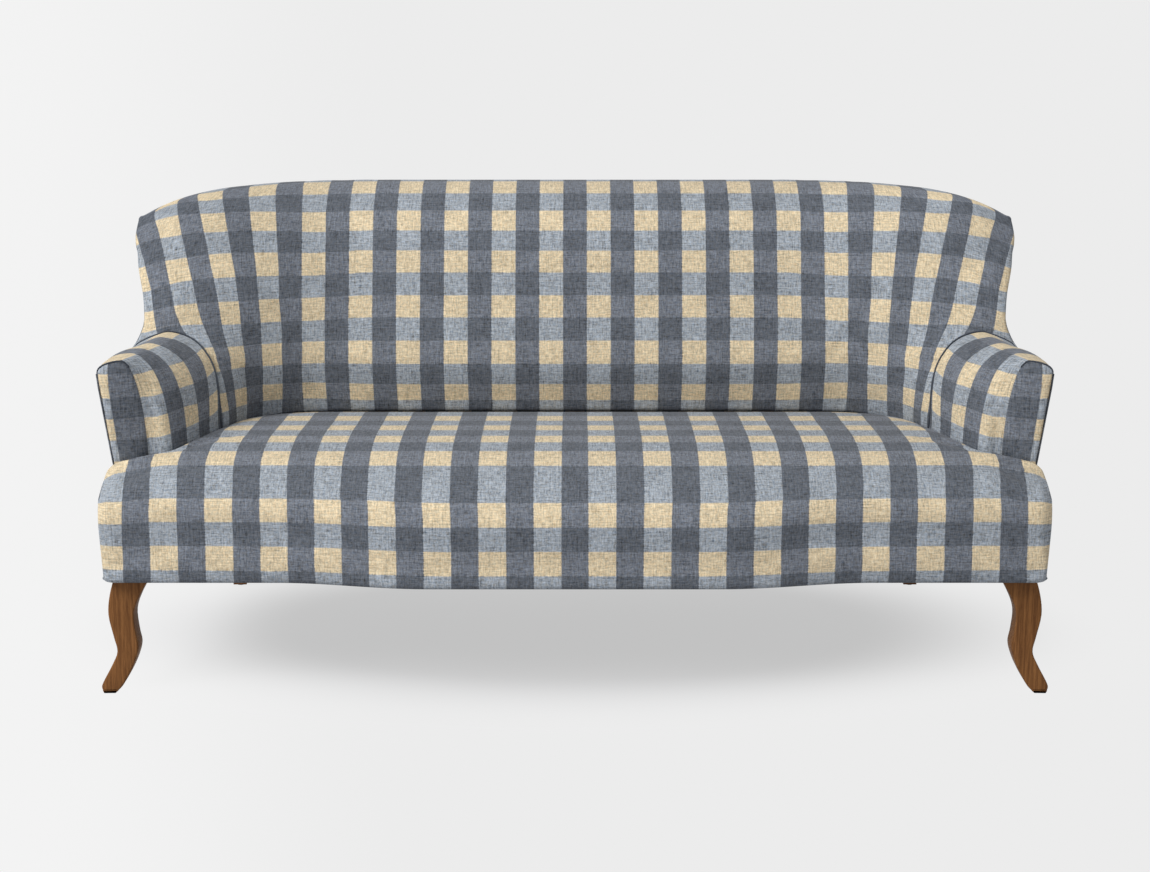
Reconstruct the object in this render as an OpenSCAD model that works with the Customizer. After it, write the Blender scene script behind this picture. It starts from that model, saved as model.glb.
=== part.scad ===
// Three-seater sofa with a tight bowed seat, a wrap-around back and S-shaped front legs.
// Heights run up from the floor and depths run back from the front of the seat ends.

/* [Overall] */
// Width across the front of the seat
seat_w = 1858; // [1760:2:1940]
// Height of the crest above the floor
crest_h = 942; // [930:1:955]
// Clear height under the upholstery
under_h = 246; // [215:1:265]
// Depth from the seat front to the ridge of the back
ridge_depth = 785; // [770:1:800]

/* [Seat] */
// How far the middle of the front stands ahead of its ends
bow = 40; // [20:1:50]
// Half width of the part of the front that stands ahead
bow_flat = 290; // [220:5:320]
// Half width at which the bow has died away
bow_end = 580; // [540:5:640]
// Height of the seat where it meets the back
seat_h = 461; // [455:1:466]
// Rise of the crown above the crease
crown_rise = 16; // [12:1:18]
// Depth at which the crown is highest
crown_depth = 250; // [235:1:265]
// Radius of the front roll
front_roll = 60; // [50:1:66]
// Radius of the roll at the seat's ends
end_roll = 45; // [35:1:50]
// Thickness of the padding over the front rail
apron_t = 13; // [10:1:16]
// Depth of the ears that run in front of the arms
ear_depth = 145; // [130:1:155]
// Width of an arm at its rear, out to the seat's end
arm_w = 193; // [189:1:209]

/* [Back] */
// Radius of the turn under the bottom of the back
under_turn = 141; // [130:1:146]
// Slope of the inside back
rake = 16.5; // [15.5:0.1:17]
// Radius of the roll over the crest
crest_roll = 207; // [200:1:210]
// Radius of the rear edge of the crest
rear_edge_r = 45; // [40:1:48]
// Half width of the straight part of the back
back_flat = 460; // [430:5:480]
// Radius of the corner between the back and an arm at the seat
corner_turn = 175; // [165:1:185]
// How far a wing comes forward above the arm
wing_forward = 160; // [140:1:175]
// How far a shoulder comes forward of the middle of the ridge
shoulder_forward = 262; // [240:1:275]
// Thickness of the padding at a wing's edge
wing_pad = 22; // [18:1:26]
// How far the shoulders stand inside the seat's ends
shoulder_in = 3; // [0:1:14]

/* [Arms] */
// Height of an arm's top at the front
arm_h = 656; // [640:1:664]
// Rise of the arm's top to the wing
arm_rise = 10; // [4:1:16]
// How far an arm leans out at its front
arm_flare = 34; // [26:1:38]
// Thickness of the arm padding
arm_pad_t = 26; // [20:1:28]
// Thickness of the facing at an arm's front
facing_t = 18; // [14:1:20]
// Thickness of the outside panels
panel_t = 4; // [3:0.5:5]

/* [Frame] */
// Height of the seat rails
rail_h = 100; // [85:1:106]
// Thickness of the seat rails
rail_t = 28; // [24:1:30]
// Thickness of the side rails and arm stumps
side_t = 35; // [30:1:36]
// Width of a back post
post_w = 45; // [38:1:50]
// Thickness of a back post
post_t = 45; // [40:1:45]
// Distance from the ridge forward to the front of a back post's foot
post_foot = 130; // [126:1:134]
// Distance from the ridge forward to the front of a back post's top
post_head = 36.7; // [34:0.1:39]
// Clearance between pieces that sit together
fit = 0.3; // [0.2:0.05:0.5]
// Length of a tenon
tenon_l = 25; // [18:1:30]
// Thickness of a tenon
tenon_t = 14; // [10:1:16]

/* [Springs] */
// Number of seat springs
spring_n = 8; // [6:2:8]
// Wire of a spring
spring_wire = 3.8; // [3.4:0.1:4.2]
// Width of a spring over its bends
spring_w = 52; // [46:1:58]
// Number of bends in a spring
spring_bends = 12; // [10:2:16]

/* [Legs] */
// Thickness of a front leg from front to back
leg_t = 45; // [38:1:50]
// Distance from the seat front to a front leg
leg_inset = 30; // [24:1:36]
// Width of a rear leg at its top
rear_leg_w = 46; // [40:1:50]
// Width of a rear leg at its foot
rear_foot_w = 30; // [26:1:36]
// How far a rear foot stands behind its top
rear_kick = 72; // [50:1:76]
// Height of a glide
glide_h = 3; // [2:0.5:4]
// Diameter of a glide
glide_d = 18; // [12:1:20]
// Diameter of a leg bolt
bolt_d = 8; // [6:1:10]

/* [Hidden] */

half_w = seat_w / 2;
shoulder_w = half_w - shoulder_in;
inside_w = half_w - arm_w;
depth_mid = (ridge_depth + rear_edge_r - bow) / 2;
rail_z = under_h + 4.5;
rail_top = rail_z + rail_h;
spring_z = rail_top + 6;
deck_z = rail_top + 13;
crest_z = crest_h - 134;
arch_low = deck_z + 12;
arch_base = deck_z + 84;
crease_w = 116;
crease_bend = 0.55;

function lerp(a, b, t) = a + (b - a) * t;
function clamp01(t) = min(1, max(0, t));
function smooth(t) = let(c = clamp01(t)) c * c * (3 - 2 * c);
function unit(v) = v / norm(v);

// Everything is drawn from the seat front and then centred on its own depth
module placed() {
    translate([0, -depth_mid, 0]) children();
}

// Mirrors a left-hand piece to the right-hand side
module handed(side) {
    mirror([side > 0 ? 1 : 0, 0, 0]) children();
}

// Closed solid between an outer and an inner grid of points with the same rows and columns
module shell(outer, inner, flip = false) {
    rows = len(outer);
    cols = len(outer[0]);
    count = rows * cols;
    function at(i, j, k) = k * count + i * cols + j;
    skin = [for (i = [0:rows - 2], j = [0:cols - 2]) each [
        [at(i, j, 0), at(i + 1, j, 0), at(i + 1, j + 1, 0)],
        [at(i, j, 0), at(i + 1, j + 1, 0), at(i, j + 1, 0)],
        [at(i, j, 1), at(i + 1, j + 1, 1), at(i + 1, j, 1)],
        [at(i, j, 1), at(i, j + 1, 1), at(i + 1, j + 1, 1)]]];
    long_rims = [for (i = [0:rows - 2]) each [
        [at(i, 0, 0), at(i, 0, 1), at(i + 1, 0, 1)],
        [at(i, 0, 0), at(i + 1, 0, 1), at(i + 1, 0, 0)],
        [at(i, cols - 1, 0), at(i + 1, cols - 1, 1), at(i, cols - 1, 1)],
        [at(i, cols - 1, 0), at(i + 1, cols - 1, 0), at(i + 1, cols - 1, 1)]]];
    end_rims = [for (j = [0:cols - 2]) each [
        [at(0, j, 0), at(0, j + 1, 0), at(0, j, 1)],
        [at(0, j + 1, 0), at(0, j + 1, 1), at(0, j, 1)],
        [at(rows - 1, j, 0), at(rows - 1, j, 1), at(rows - 1, j + 1, 0)],
        [at(rows - 1, j + 1, 0), at(rows - 1, j, 1), at(rows - 1, j + 1, 1)]]];
    faces = concat(skin, long_rims, end_rims);
    polyhedron(
        points = concat([for (row = outer) each row], [for (row = inner) each row]),
        faces = flip ? [for (f = faces) [f[2], f[1], f[0]]] : faces,
        convexity = 8);
}

// Inside back: a raked sheet that turns forward into the wings
turn_y = ridge_depth - crest_roll * cos(rake);
roll_z = crest_h - crest_roll * (1 - sin(rake));
line_z = seat_h + under_turn * (sin(45) + sin(rake)) - 1;
line_y = turn_y - (roll_z - line_z) * tan(rake);
under_c = [line_y + under_turn * cos(rake), line_z - under_turn * sin(rake)];
back_foot_z = under_c[1] - under_turn * sin(45);
under_steps = 5;
line_steps = 3;
roll_steps = 6;
edge_steps = 4;

// Centre profile of the back as [depth, height, slope of the normal, progress in the roll]
back_profile = concat(
    [for (k = [0:under_steps - 1]) let(b = lerp(-45, rake, k / under_steps))
        [under_c[0] - under_turn * cos(b), under_c[1] + under_turn * sin(b), b, 0]],
    [for (k = [0:line_steps - 1]) let(t = k / line_steps)
        [lerp(line_y, turn_y, t), lerp(line_z, roll_z, t), rake, 0]],
    [for (k = [0:roll_steps]) let(b = lerp(rake, 90, k / roll_steps))
        [ridge_depth - crest_roll * cos(b), crest_h + crest_roll * (sin(b) - 1), b,
            k / roll_steps]]);

// Depth of the middle of the inside back at a height below the roll
function back_face(z) = z < line_z
    ? under_c[0] - sqrt(max(0, under_turn * under_turn - pow(z - under_c[1], 2)))
    : line_y + (z - line_z) * tan(rake);

// How far the back has come forward at distance x from the middle. At the seat it turns a
// tight corner; above the arms it sweeps forward and flattens again into the wing.
corner_a = 71;
corner_x = inside_w - corner_turn - 21;
function corner_turned(x) = let(d = max(0, x - corner_x))
    d < corner_turn * sin(corner_a)
        ? corner_turn - sqrt(corner_turn * corner_turn - d * d)
        : corner_turn * (1 - cos(corner_a)) + (d - corner_turn * sin(corner_a)) * tan(corner_a);
join_lap = 3;
// Where the back meets an arm at a height: behind it the back runs straight on
function crease_x(z) = let(
        h = clamp01((z - arch_base) / (arm_h + arm_rise - arch_base)))
    inside_w + crease_w * (1 - pow(sqrt(1 - h * h), crease_bend));
wing_z = crest_h - 240;
wing_rise = 150;
wing_flatten = 36;
function swept(x, z, q) = smooth((x - back_flat) / (shoulder_w - back_flat - 10))
    * lerp(lerp(wing_forward, wing_forward - wing_flatten, smooth((z - wing_z) / wing_rise)),
        shoulder_forward, q * q);
sweep_z = arm_h - 126;
sweep_rise = 130;
function drawn(x, z, q, turned) = lerp(turned, swept(x, z, q),
    smooth((z - sweep_z) / sweep_rise));
function forward(x, z, q) = drawn(x, z, q, corner_turned(min(x, crease_x(z) - join_lap)));
function back_y(y0, x, z, q) = y0 - forward(x, z, q);
// Half width of the back at a height: hidden behind the arm, narrow at the waist, wide above
waist_z = arm_h - 76;
function back_half(z) = lerp(crease_x(z) + 10,
    lerp(shoulder_w - lerp(26, 28, clamp01((z - waist_z - 66) / 50)), shoulder_w,
        smooth((z - wing_z - 3) / wing_rise)),
    smooth((z - waist_z) / 66));
ridge_fall = 52;
fall_run = 321;
function ridge_drop(x) = ridge_fall
    * pow(max(0, x - shoulder_w + fall_run + 5) / fall_run, 3.9);
function back_z(z, x) = back_foot_z
    + (z - back_foot_z) * (1 - ridge_drop(x) / (crest_h - back_foot_z));
// Normal of the plan, pointing away from the sitter
function plan_normal(x, z, q) =
    unit([forward(x + 1, z, q) - forward(x - 1, z, q), 2]);

back_columns = [0, 0.5, 1, 1.15, 1.3, 1.45, 1.6, 1.72, 1.84, 1.93, 2];
function column_x(c, z) = c <= 1 ? c * back_flat : lerp(back_flat, back_half(z), c - 1);
post_slope = (post_foot - post_head) / (crest_z - rail_z);
function post_front(z) = ridge_depth - post_foot + (z - rail_z) * post_slope;
web_gap = 4;
pad_fill = 0.97;
roll_pad = 146;
crest_pad = 52;
corner_pad = 62;
// Padding from the cover to the webbing in the middle, thinning to the wing edges
function pad_depth(p, c, x) = let(
        mid = p[2] < rake + 1
            ? (post_front(p[1]) - web_gap - p[0]) * pad_fill * cos(max(0, p[2]))
            : lerp(roll_pad, crest_pad, smooth((p[2] - rake) / (80 - rake))),
        side = lerp(corner_pad, wing_pad, clamp01((c - 1.4) / 0.6)))
    lerp(mid, side, smooth((c - 0.85) / 0.5));
function back_point(p, c, deep) = let(
        x0 = column_x(c, p[1]),
        z = back_z(p[1], x0),
        y = back_y(p[0], x0, p[1], p[3]),
        n = plan_normal(x0, p[1], p[3]),
        d = deep * pad_depth(p, c, x0))
    [x0 + d * cos(p[2]) * n[0], y + d * cos(p[2]) * n[1], z - d * sin(p[2])];
// Rear edge of the crest, from the ridge down to the outside back
function edge_point(k, c, deep) = let(
        p = back_profile[len(back_profile) - 1],
        top = back_point(p, c, 0),
        low = back_point(p, c, 1),
        n = plan_normal(top[0], p[1], 1),
        r = lerp(rear_edge_r, 14, clamp01(c - 1)),
        a = 95 * k / edge_steps,
        out = deep == 0 ? r * sin(a) : r * 0.45 * k / edge_steps)
    deep == 0 ? [top[0] + out * n[0], top[1] + out * n[1], top[2] - r * (1 - cos(a))]
              : [low[0] + out * n[0], low[1] + out * n[1], min(low[2], top[2] - r * 1.15)];
function back_row(c, deep) = concat(
    [for (p = back_profile) back_point(p, c, deep)],
    [for (k = [1:edge_steps]) edge_point(k, c, deep)]);
function flip_x(row) = [for (p = row) [-p[0], p[1], p[2]]];
function both_sides(rows) = let(n = len(rows))
    concat([for (i = [n - 1:-1:1]) flip_x(rows[i])], rows);

module inside_back_pad() {
    color("lightsteelblue") placed()
        shell(both_sides([for (c = back_columns) back_row(c, 0)]),
              both_sides([for (c = back_columns) back_row(c, 1)]), flip = true);
}

// Seat: sections from front to back, one for each station across the width
crown_z = seat_h + crown_rise;
front_arc = 530;
rear_arc = pow(back_face(seat_h + 1) - crown_depth, 2) / (2 * crown_rise);
ear_x = half_w - 14;
function bow_at(x) = -bow * (1 - smooth((x - bow_flat) / (bow_end - bow_flat)));
function crown(y) = y < crown_depth
    ? crown_z - front_arc + sqrt(pow(front_arc, 2) - pow(crown_depth - y, 2))
    : crown_z - rear_arc + sqrt(pow(rear_arc, 2) - pow(y - crown_depth, 2));
// Where the seat meets the back and the arms
front_x = ear_x - 65;
function arm_foot_x(u) = lerp(inside_w, front_x, u);
function back_line(x) = let(turned = forward(x, seat_h, 0))
    back_face(crown(back_face(seat_h + 1) - turned)) - turned;
function seat_rear(x) = let(
        arm = lerp(ear_depth, back_line(inside_w),
            pow(clamp01((front_x - x) / (front_x - inside_w)), 2.1)))
    (x < inside_w ? back_line(x) - 3 * smooth((x - corner_x) / 60) : arm - 6) - 2;
function side_drop(x) = let(a = clamp01((x - half_w + end_roll) / end_roll))
    end_roll * (1 - sqrt(1 - a * a));
function side_back(x) = let(a = clamp01((x - half_w + 25) / 25)) 25 * (1 - sqrt(1 - a * a));
arm_steps = 6;
front_steps = 2;
roll_rows = 4;
top_rows = 6;

// Section of the cover at one station, from the front hem over the roll to the rear
function seat_section(x) = let(
        yf = bow_at(x) + side_back(x),
        drop = side_drop(x),
        k = front_roll / front_arc,
        yc = (yf + front_roll - crown_depth * k) / (1 - k),
        a0 = asin((crown_depth - yc) / front_arc),
        z0 = crown(yc) - front_roll * cos(a0),
        rear = seat_rear(x))
    concat(
        [for (i = [0:front_steps - 1]) [x, yf, lerp(under_h, z0 - drop, i / front_steps)]],
        [for (i = [0:roll_rows - 1]) let(a = lerp(90, a0, i / roll_rows))
            [x, yf + front_roll * (1 - sin(a)), z0 + front_roll * cos(a) - drop]],
        [for (i = [0:top_rows]) let(y = lerp(yc, rear, i / top_rows))
            [x, y, crown(y) - drop]]);
// Underside of the pad: behind the front apron it rests at deck height
function seat_under(x) = let(
        cover = seat_section(x),
        n = len(cover) - 1,
        yf = cover[0][1] + apron_t,
        rear = cover[n][1])
    x > ear_x
        ? [for (i = [0:n]) [x, lerp(cover[0][1] + 1, rear, i / n), under_h]]
        : [for (i = [0:n]) i < front_steps ? [x, yf, lerp(under_h, deck_z, i / front_steps)]
            : [x, lerp(yf, rear, (i - front_steps) / (n - front_steps)), deck_z]];
seat_stations = concat([0, 0.5 * bow_flat, bow_flat],
    [for (t = [0.25:0.25:1]) lerp(bow_flat, bow_end, t)],
    [for (t = [0.33, 0.66, 1]) lerp(bow_end, inside_w, t)],
    [for (k = [arm_steps - 1:-1:0]) arm_foot_x(arm_turn(k / arm_steps))],
    [half_w - 25, ear_x, ear_x + 0.5],
    [for (t = [0.45, 0.75, 0.93, 1]) lerp(ear_x, half_w, t)]);

module seat_pad() {
    color("lightsteelblue") placed()
        shell(both_sides([for (x = seat_stations) seat_section(x)]),
              both_sides([for (x = seat_stations) seat_under(x)]), flip = true);
}

// Arms: arches from the seat, over the top and down to the outer seam
arm_out = ear_x + arm_flare;
arch_steps = 6;
over_steps = 3;
function arm_turn(s) = pow(1 - s, 1.6);
function arm_path(s) = let(x = arm_foot_x(arm_turn(s))) [x, seat_rear(x) + (s < 1 ? 8 : 2)];
arm_rear = back_face(arm_h) - 143;
join_start = 0.5;
pad_front = ear_depth + facing_t + fit;
join_gap = 3;
function arm_peak(s) = [lerp(front_x + 46, inside_w + crease_w, s),
    lerp(ear_depth, arm_rear, s), arm_h + arm_rise * s];
function arm_edge(s) = [lerp(arm_out, shoulder_w - 12, smooth(s)),
    lerp(ear_depth, arm_rear - 3, s), lerp(arm_h - 27, arm_h - 14, s)];
function bent(a, s) = 1 - pow(max(0, cos(a)), lerp(1, crease_bend, s));
// One arch, drawn in by the thickness t of the padding
function arch(s, t) = let(
        foot = arm_path(s),
        peak = arm_peak(s),
        edge = arm_edge(s),
        thin = t > 0 ? 4 : 0)
    concat(
        [[foot[0] + t, foot[1], arch_low]],
        [for (i = [0:arch_steps]) let(a = 90 * i / arch_steps)
            [foot[0] + t + (peak[0] - foot[0] - t) * bent(a, s),
             lerp(foot[1], peak[1], bent(a, s)),
             arch_base + (peak[2] - t - arch_base) * sin(a)]],
        [for (i = [1:over_steps]) let(a = 90 * i / over_steps)
            [peak[0] + (edge[0] - 6 - thin - peak[0]) * sin(a),
             lerp(peak[1], edge[1], 1 - cos(a)),
             edge[2] + (peak[2] - t - edge[2]) * cos(a) - thin]]);
// The arches bend towards the back, and the last one lies along its face
function to_back(p) = back_face(p[2]) - join_gap - p[1]
    - drawn(p[0], p[2], 0, corner_turned(min(p[0], crease_x(p[2]) + join_lap)));
function arm_rows(t) = let(shift = [for (p = arch(1, t)) to_back(p)])
    [for (k = [0:arm_steps]) let(s = k / arm_steps, row = arch(s, t),
            moved = smooth((s - join_start) / (1 - join_start)))
        [for (i = [0:len(row) - 1])
            [row[i][0], max(row[i][1] + shift[i] * moved, pad_front + k), row[i][2]]]];

module arm_pad(side) {
    color("lightsteelblue") placed() handed(side)
        shell([for (row = arm_rows(0)) flip_x(row)],
              [for (row = arm_rows(arm_pad_t)) flip_x(row)], flip = true);
}
module left_arm_pad() { arm_pad(-1); }
module right_arm_pad() { arm_pad(1); }

// Facing: a plate inside the first arch, down to the seat
module arm_facing(side) {
    face = arch(0, 0);
    outline = concat([for (p = face) [p[0] + 1.2, p[2] - 1]],
        [[ear_x - 5, arch_base], [ear_x - 5, arch_low]]);
    color("slategray") placed() handed(side) mirror([1, 0, 0])
        translate([0, ear_depth + facing_t, 0]) rotate([90, 0, 0])
            linear_extrude(facing_t) offset(delta = -1) polygon(outline);
}
module left_arm_facing() { arm_facing(-1); }
module right_arm_facing() { arm_facing(1); }

// Outside back: upright round a rounded corner up to the seat rails, then leaning to the crest
base_y = ridge_depth - 63;
base_r = 190;
function base_plan(a) = [ear_x - 1 - base_r * (1 - sin(a)), base_y - base_r * (1 - cos(a))];
function top_plan(x) = let(n = plan_normal(x, crest_h, 1), c = clamp01((x - back_flat)
        / (shoulder_w - back_flat)), r = lerp(rear_edge_r, 14, c) - 2)
    [x + r * n[0], back_y(ridge_depth, x, crest_h, 1) + r * n[1]];
top_turn = back_flat * 1.2;
top_end = shoulder_w - 12;
function outside_back_point(u, h, skin) = let(
        low = u < 1 ? [u * (ear_x - 1 - base_r), base_y] : base_plan(min(90, 90 * (u - 1))),
        high = top_plan(u < 1 ? u * top_turn : lerp(top_turn, top_end, u - 1)),
        ztop = back_z(crest_h, high[0]) - lerp(rear_edge_r, 14, clamp01(u - 1)) - 13,
        n = u < 1 ? [0, 1] : [sin(90 * (u - 1)), cos(90 * (u - 1))],
        k = clamp01((h - 0.2) / 0.8))
    [lerp(low[0], high[0], k) - skin * n[0], lerp(low[1], high[1], k) - skin * n[1],
        h < 0.2 ? lerp(under_h, rail_top + 3, h / 0.2) : lerp(rail_top + 3, ztop, k)];
back_us = [0, 0.4, 0.8, 0.87, 0.94, 1, 1.1, 1.25, 1.4, 1.55, 1.7, 1.85, 2];

module outside_back() {
    color("slategray") placed()
        shell(both_sides([for (u = back_us) [for (h = [0:0.2:1]) outside_back_point(u, h, 0)]]),
              both_sides([for (u = back_us) [for (h = [0:0.2:1])
                  outside_back_point(u, h, panel_t)]]));
}

// Outside arms: from the ear along the arm's edge and up behind the wing
function wing_edge(i) = let(k = min(floor(i), len(back_profile) - 2))
    lerp(back_point(back_profile[k], 2, 1), back_point(back_profile[k + 1], 2, 1), i - k);
wing_first = under_steps + 1;
wing_last = len(back_profile) - 1;
function outline_front(t) = t < 0.35
        ? [ear_x - 1, ear_depth + 2, lerp(under_h, arch_base, t / 0.35)]
    : t < 0.5 ? let(u = (t - 0.35) / 0.15) [lerp(ear_x - 1, arm_out - 1, u), ear_depth + 2,
        lerp(arch_base, arm_h - 33, u)]
    : t < 0.75 ? let(u = (t - 0.5) / 0.25, e = arm_edge(u)) [e[0] - 1, e[1] + 2, e[2] - 4]
    : wing_edge(lerp(wing_first, wing_last, (t - 0.75) / 0.25)) + [1.5, 2, -1];
function outside_point(t, s, skin) = let(
        f = outline_front(t),
        h = t < 0.35 ? lerp(0, 0.42, t / 0.35) : lerp(0.42, 1, (t - 0.35) / 0.65),
        p = lerp(f, outside_back_point(2, h, 0) - [0, 0.8, 0], s))
    [p[0] - skin, p[1], p[2]];

module outside_arm(side) {
    color("slategray") placed() handed(side)
        shell([for (t = [0:0.05:1]) flip_x([for (s = [0:0.2:1]) outside_point(t, s, 0)])],
              [for (t = [0:0.05:1]) flip_x([for (s = [0:0.2:1]) outside_point(t, s, panel_t)])],
              flip = true);
}
module left_outside_arm() { outside_arm(-1); }
module right_outside_arm() { outside_arm(1); }

// Frame
side_x = ear_x - 9;

// Leaning piece between two planes parallel to the front of the back posts
module leaning(x0, x1, z0, z1, v0, v1) {
    translate([x0, 0, 0]) rotate([90, 0, 90]) linear_extrude(x1 - x0)
        polygon([[post_front(z0) + v0, z0], [post_front(z0) + v1, z0],
            [post_front(z1) + v1, z1], [post_front(z1) + v0, z1]]);
}
module plate(outline, z0, z1) {
    translate([0, 0, z0]) linear_extrude(z1 - z0) polygon(outline);
}
module block(x0, x1, y0, y1, z0, z1) {
    translate([x0, y0, z0]) cube([x1 - x0, y1 - y0, z1 - z0]);
}
module two_sides() {
    children();
    mirror([1, 0, 0]) children();
}
// Pieces written for the right-hand side, placed on either side
module sided(side) {
    color("burlywood") placed() handed(side) mirror([1, 0, 0]) children();
}

// Tenons, let in by the clearance where they are cut as mortises
module side_tenon(y0, y1, grow = 0) {
    mid = side_x - side_t / 2;
    block(mid - tenon_t / 2 - grow, mid + tenon_t / 2 + grow, y0, y1,
        rail_z + 20 - grow, rail_top - 20 + grow);
}
module stretcher_tenon(y0, y1, grow = 0) {
    block(stretcher_x - 7 - grow, stretcher_x + 7 + grow, y0, y1,
        rail_z + 10 - grow, rail_z + 50 + grow);
}
module post_foot_tenon(grow = 0) {
    block(post_x + 8 - grow, post_x + post_w - 8 + grow, back_rail_mid - tenon_t / 2 - grow,
        back_rail_mid + tenon_t / 2 + grow, rail_top - tenon_l - grow, rail_top + 1);
}
module post_top_tenon(grow = 0) {
    leaning(post_x + 8 - grow, post_x + post_w - 8 + grow, crest_z - 1, crest_z + tenon_l + grow,
        post_t / 2 - tenon_t / 2 - grow, post_t / 2 + tenon_t / 2 + grow);
}
module lower_tenon(grow = 0) {
    leaning(post_x - 1, post_x + tenon_l - 5 + grow, lower_back_z + 10 - grow,
        lower_back_z + 60 + grow, 6 - grow, 18 + grow);
}

rail_y = apron_t + 1 + rail_t;
stretcher_x = back_flat - 210;
post_x = back_flat - 55;
crest_top = crest_h - 62;
lower_back_z = seat_h + 9;
wing_y = ear_depth + 355;
wing_d = 28;
wing_top = crest_h - 150;
corner_start = ear_x - 1 - base_r;
corner_r = base_r - 8;
back_rail_y = post_front(rail_top);
back_rail_rear = base_y - 8;
back_rail_mid = (back_rail_y + back_rail_rear) / 2;
block_front = back_rail_y - 35;

// Screws and bolts, drawn with a clearance where they are cut as holes
screw_d = 5;
screw_head = 9;
module screw(length, grow = 0) {
    cylinder(d1 = screw_head + 2 * grow, d2 = screw_d + 2 * grow, h = 3, $fn = 16);
    translate([0, 0, grow > 0 ? -0.5 : 0])
        cylinder(d = screw_d + 2 * grow, h = length + (grow > 0 ? 1 : 0), $fn = 16);
}
module block_screw_set(grow = 0) {
    two_sides() {
        translate([side_x - side_t - 22, rail_y + 45, rail_z + 34]) rotate([90, 0, 0])
            screw(60, grow);
        translate([side_x - side_t - 45, rail_y + 22, rail_z + 64]) rotate([0, 90, 0])
            screw(60, grow);
        for (x = [-39, 20]) translate([corner_start + x, block_front, rail_z + 50]) rotate([-90, 0, 0])
            screw(60, grow);
    }
}
plate_w = 55;
plate_t = 2.5;
leg_top = rail_z - plate_t;
front_leg_x = half_w - 51;
front_leg_y = leg_inset + leg_t / 2;
rear_leg_x = half_w - 149;
rear_leg_y = ridge_depth - 117;
plate_screw_d = 4;
module plate_screw_set(grow = 0) {
    spots = [[front_leg_x - 16, 34], [front_leg_x + 18, 71],
        [rear_leg_x - 18, rear_leg_y + 20], [rear_leg_x + 18, rear_leg_y + 6]];
    two_sides() for (s = spots) translate([s[0], s[1], leg_top]) {
        cylinder(d1 = 8 + 2 * grow, d2 = plate_screw_d + 2 * grow, h = plate_t, $fn = 16);
        translate([0, 0, grow > 0 ? -0.5 : 0])
            cylinder(d = plate_screw_d + 2 * grow, h = 22 + (grow > 0 ? 1 : 0), $fn = 16);
    }
}
module bolt_set(grow = 0) {
    two_sides() for (s = [[side_x - side_t / 2, 58], [rear_leg_x, rear_leg_y + 12]])
        translate([s[0], s[1], leg_top - 45 - grow])
            cylinder(d = bolt_d + 2 * grow, h = 95 + 2 * grow, $fn = 24);
}

// Seat frame
module front_seat_rail() {
    half = concat([for (x = seat_stations) if (x < side_x - 5) x], [side_x]);
    n = len(half) - 1;
    xs = concat([for (k = [n:-1:1]) -half[k]], half);
    front = apron_t + 1;
    color("burlywood") placed() difference() {
        plate(concat([for (x = xs) [x, bow_at(abs(x)) + front]],
            [for (i = [2 * n:-1:0]) [xs[i], bow_at(abs(xs[i])) + front + rail_t]]),
            rail_z, rail_top);
        two_sides() {
            side_tenon(rail_y - tenon_l + 3 - fit, rail_y + 1, fit);
            stretcher_tenon(stretcher_start - 12 - fit, stretcher_start + 4, fit);
        }
        block_screw_set(fit);
        plate_screw_set(fit);
    }
}
stretcher_start = bow_at(stretcher_x) + apron_t + 1 + rail_t;
module back_seat_rail() {
    color("burlywood") placed() difference() {
        block(-corner_start, corner_start, back_rail_y, back_rail_rear, rail_z, rail_top);
        two_sides() {
            post_foot_tenon(fit);
            stretcher_tenon(back_rail_y - 1, back_rail_y + 15 + fit, fit);
        }
        block_screw_set(fit);
    }
}
module side_rail(side) {
    sided(side) difference() {
        union() {
            block(side_x - side_t, side_x, rail_y, wing_y, rail_z, rail_top);
            side_tenon(rail_y - tenon_l + 3, rail_y + 1);
            side_tenon(wing_y - 1, wing_y + tenon_l);
        }
        block_screw_set(fit);
        plate_screw_set(fit);
        bolt_set(fit);
    }
}
module left_side_rail() { side_rail(-1); }
module right_side_rail() { side_rail(1); }
module corner_rail(side) {
    sided(side) difference() {
        translate([0, 0, rail_z]) linear_extrude(rail_h) intersection() {
            translate([corner_start, base_y - base_r]) difference() {
                circle(r = corner_r, $fn = 96);
                circle(r = corner_r - side_t, $fn = 96);
            }
            translate([corner_start, wing_y + wing_d]) square([base_r, base_r]);
        }
        block_screw_set(fit);
        plate_screw_set(fit);
        bolt_set(fit);
    }
}
module left_corner_rail() { corner_rail(-1); }
module right_corner_rail() { corner_rail(1); }
module seat_stretcher(side) {
    sided(side) {
        block(stretcher_x - 13, stretcher_x + 13, stretcher_start, back_rail_y,
            rail_z, rail_z + 60);
        stretcher_tenon(stretcher_start - 12, stretcher_start + 1);
        stretcher_tenon(back_rail_y - 1, back_rail_y + 15);
    }
}
module left_seat_stretcher() { seat_stretcher(-1); }
module right_seat_stretcher() { seat_stretcher(1); }
module corner_blocks() {
    low = rail_z + 12;
    high = rail_top - 12;
    inner = side_x - side_t;
    color("peru") placed() difference() {
        two_sides() {
            block(inner - 45, inner, rail_y, rail_y + 45, low, high);
            translate([0, 0, low]) linear_extrude(high - low) difference() {
                translate([corner_start - 60, block_front]) square([93, 35]);
                translate([corner_start, base_y - base_r]) difference() {
                    square([base_r, base_r]);
                    circle(r = corner_r - side_t - fit, $fn = 96);
                }
            }
        }
        block_screw_set(fit);
    }
}
module block_screws() { color("silver") placed() block_screw_set(); }

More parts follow.
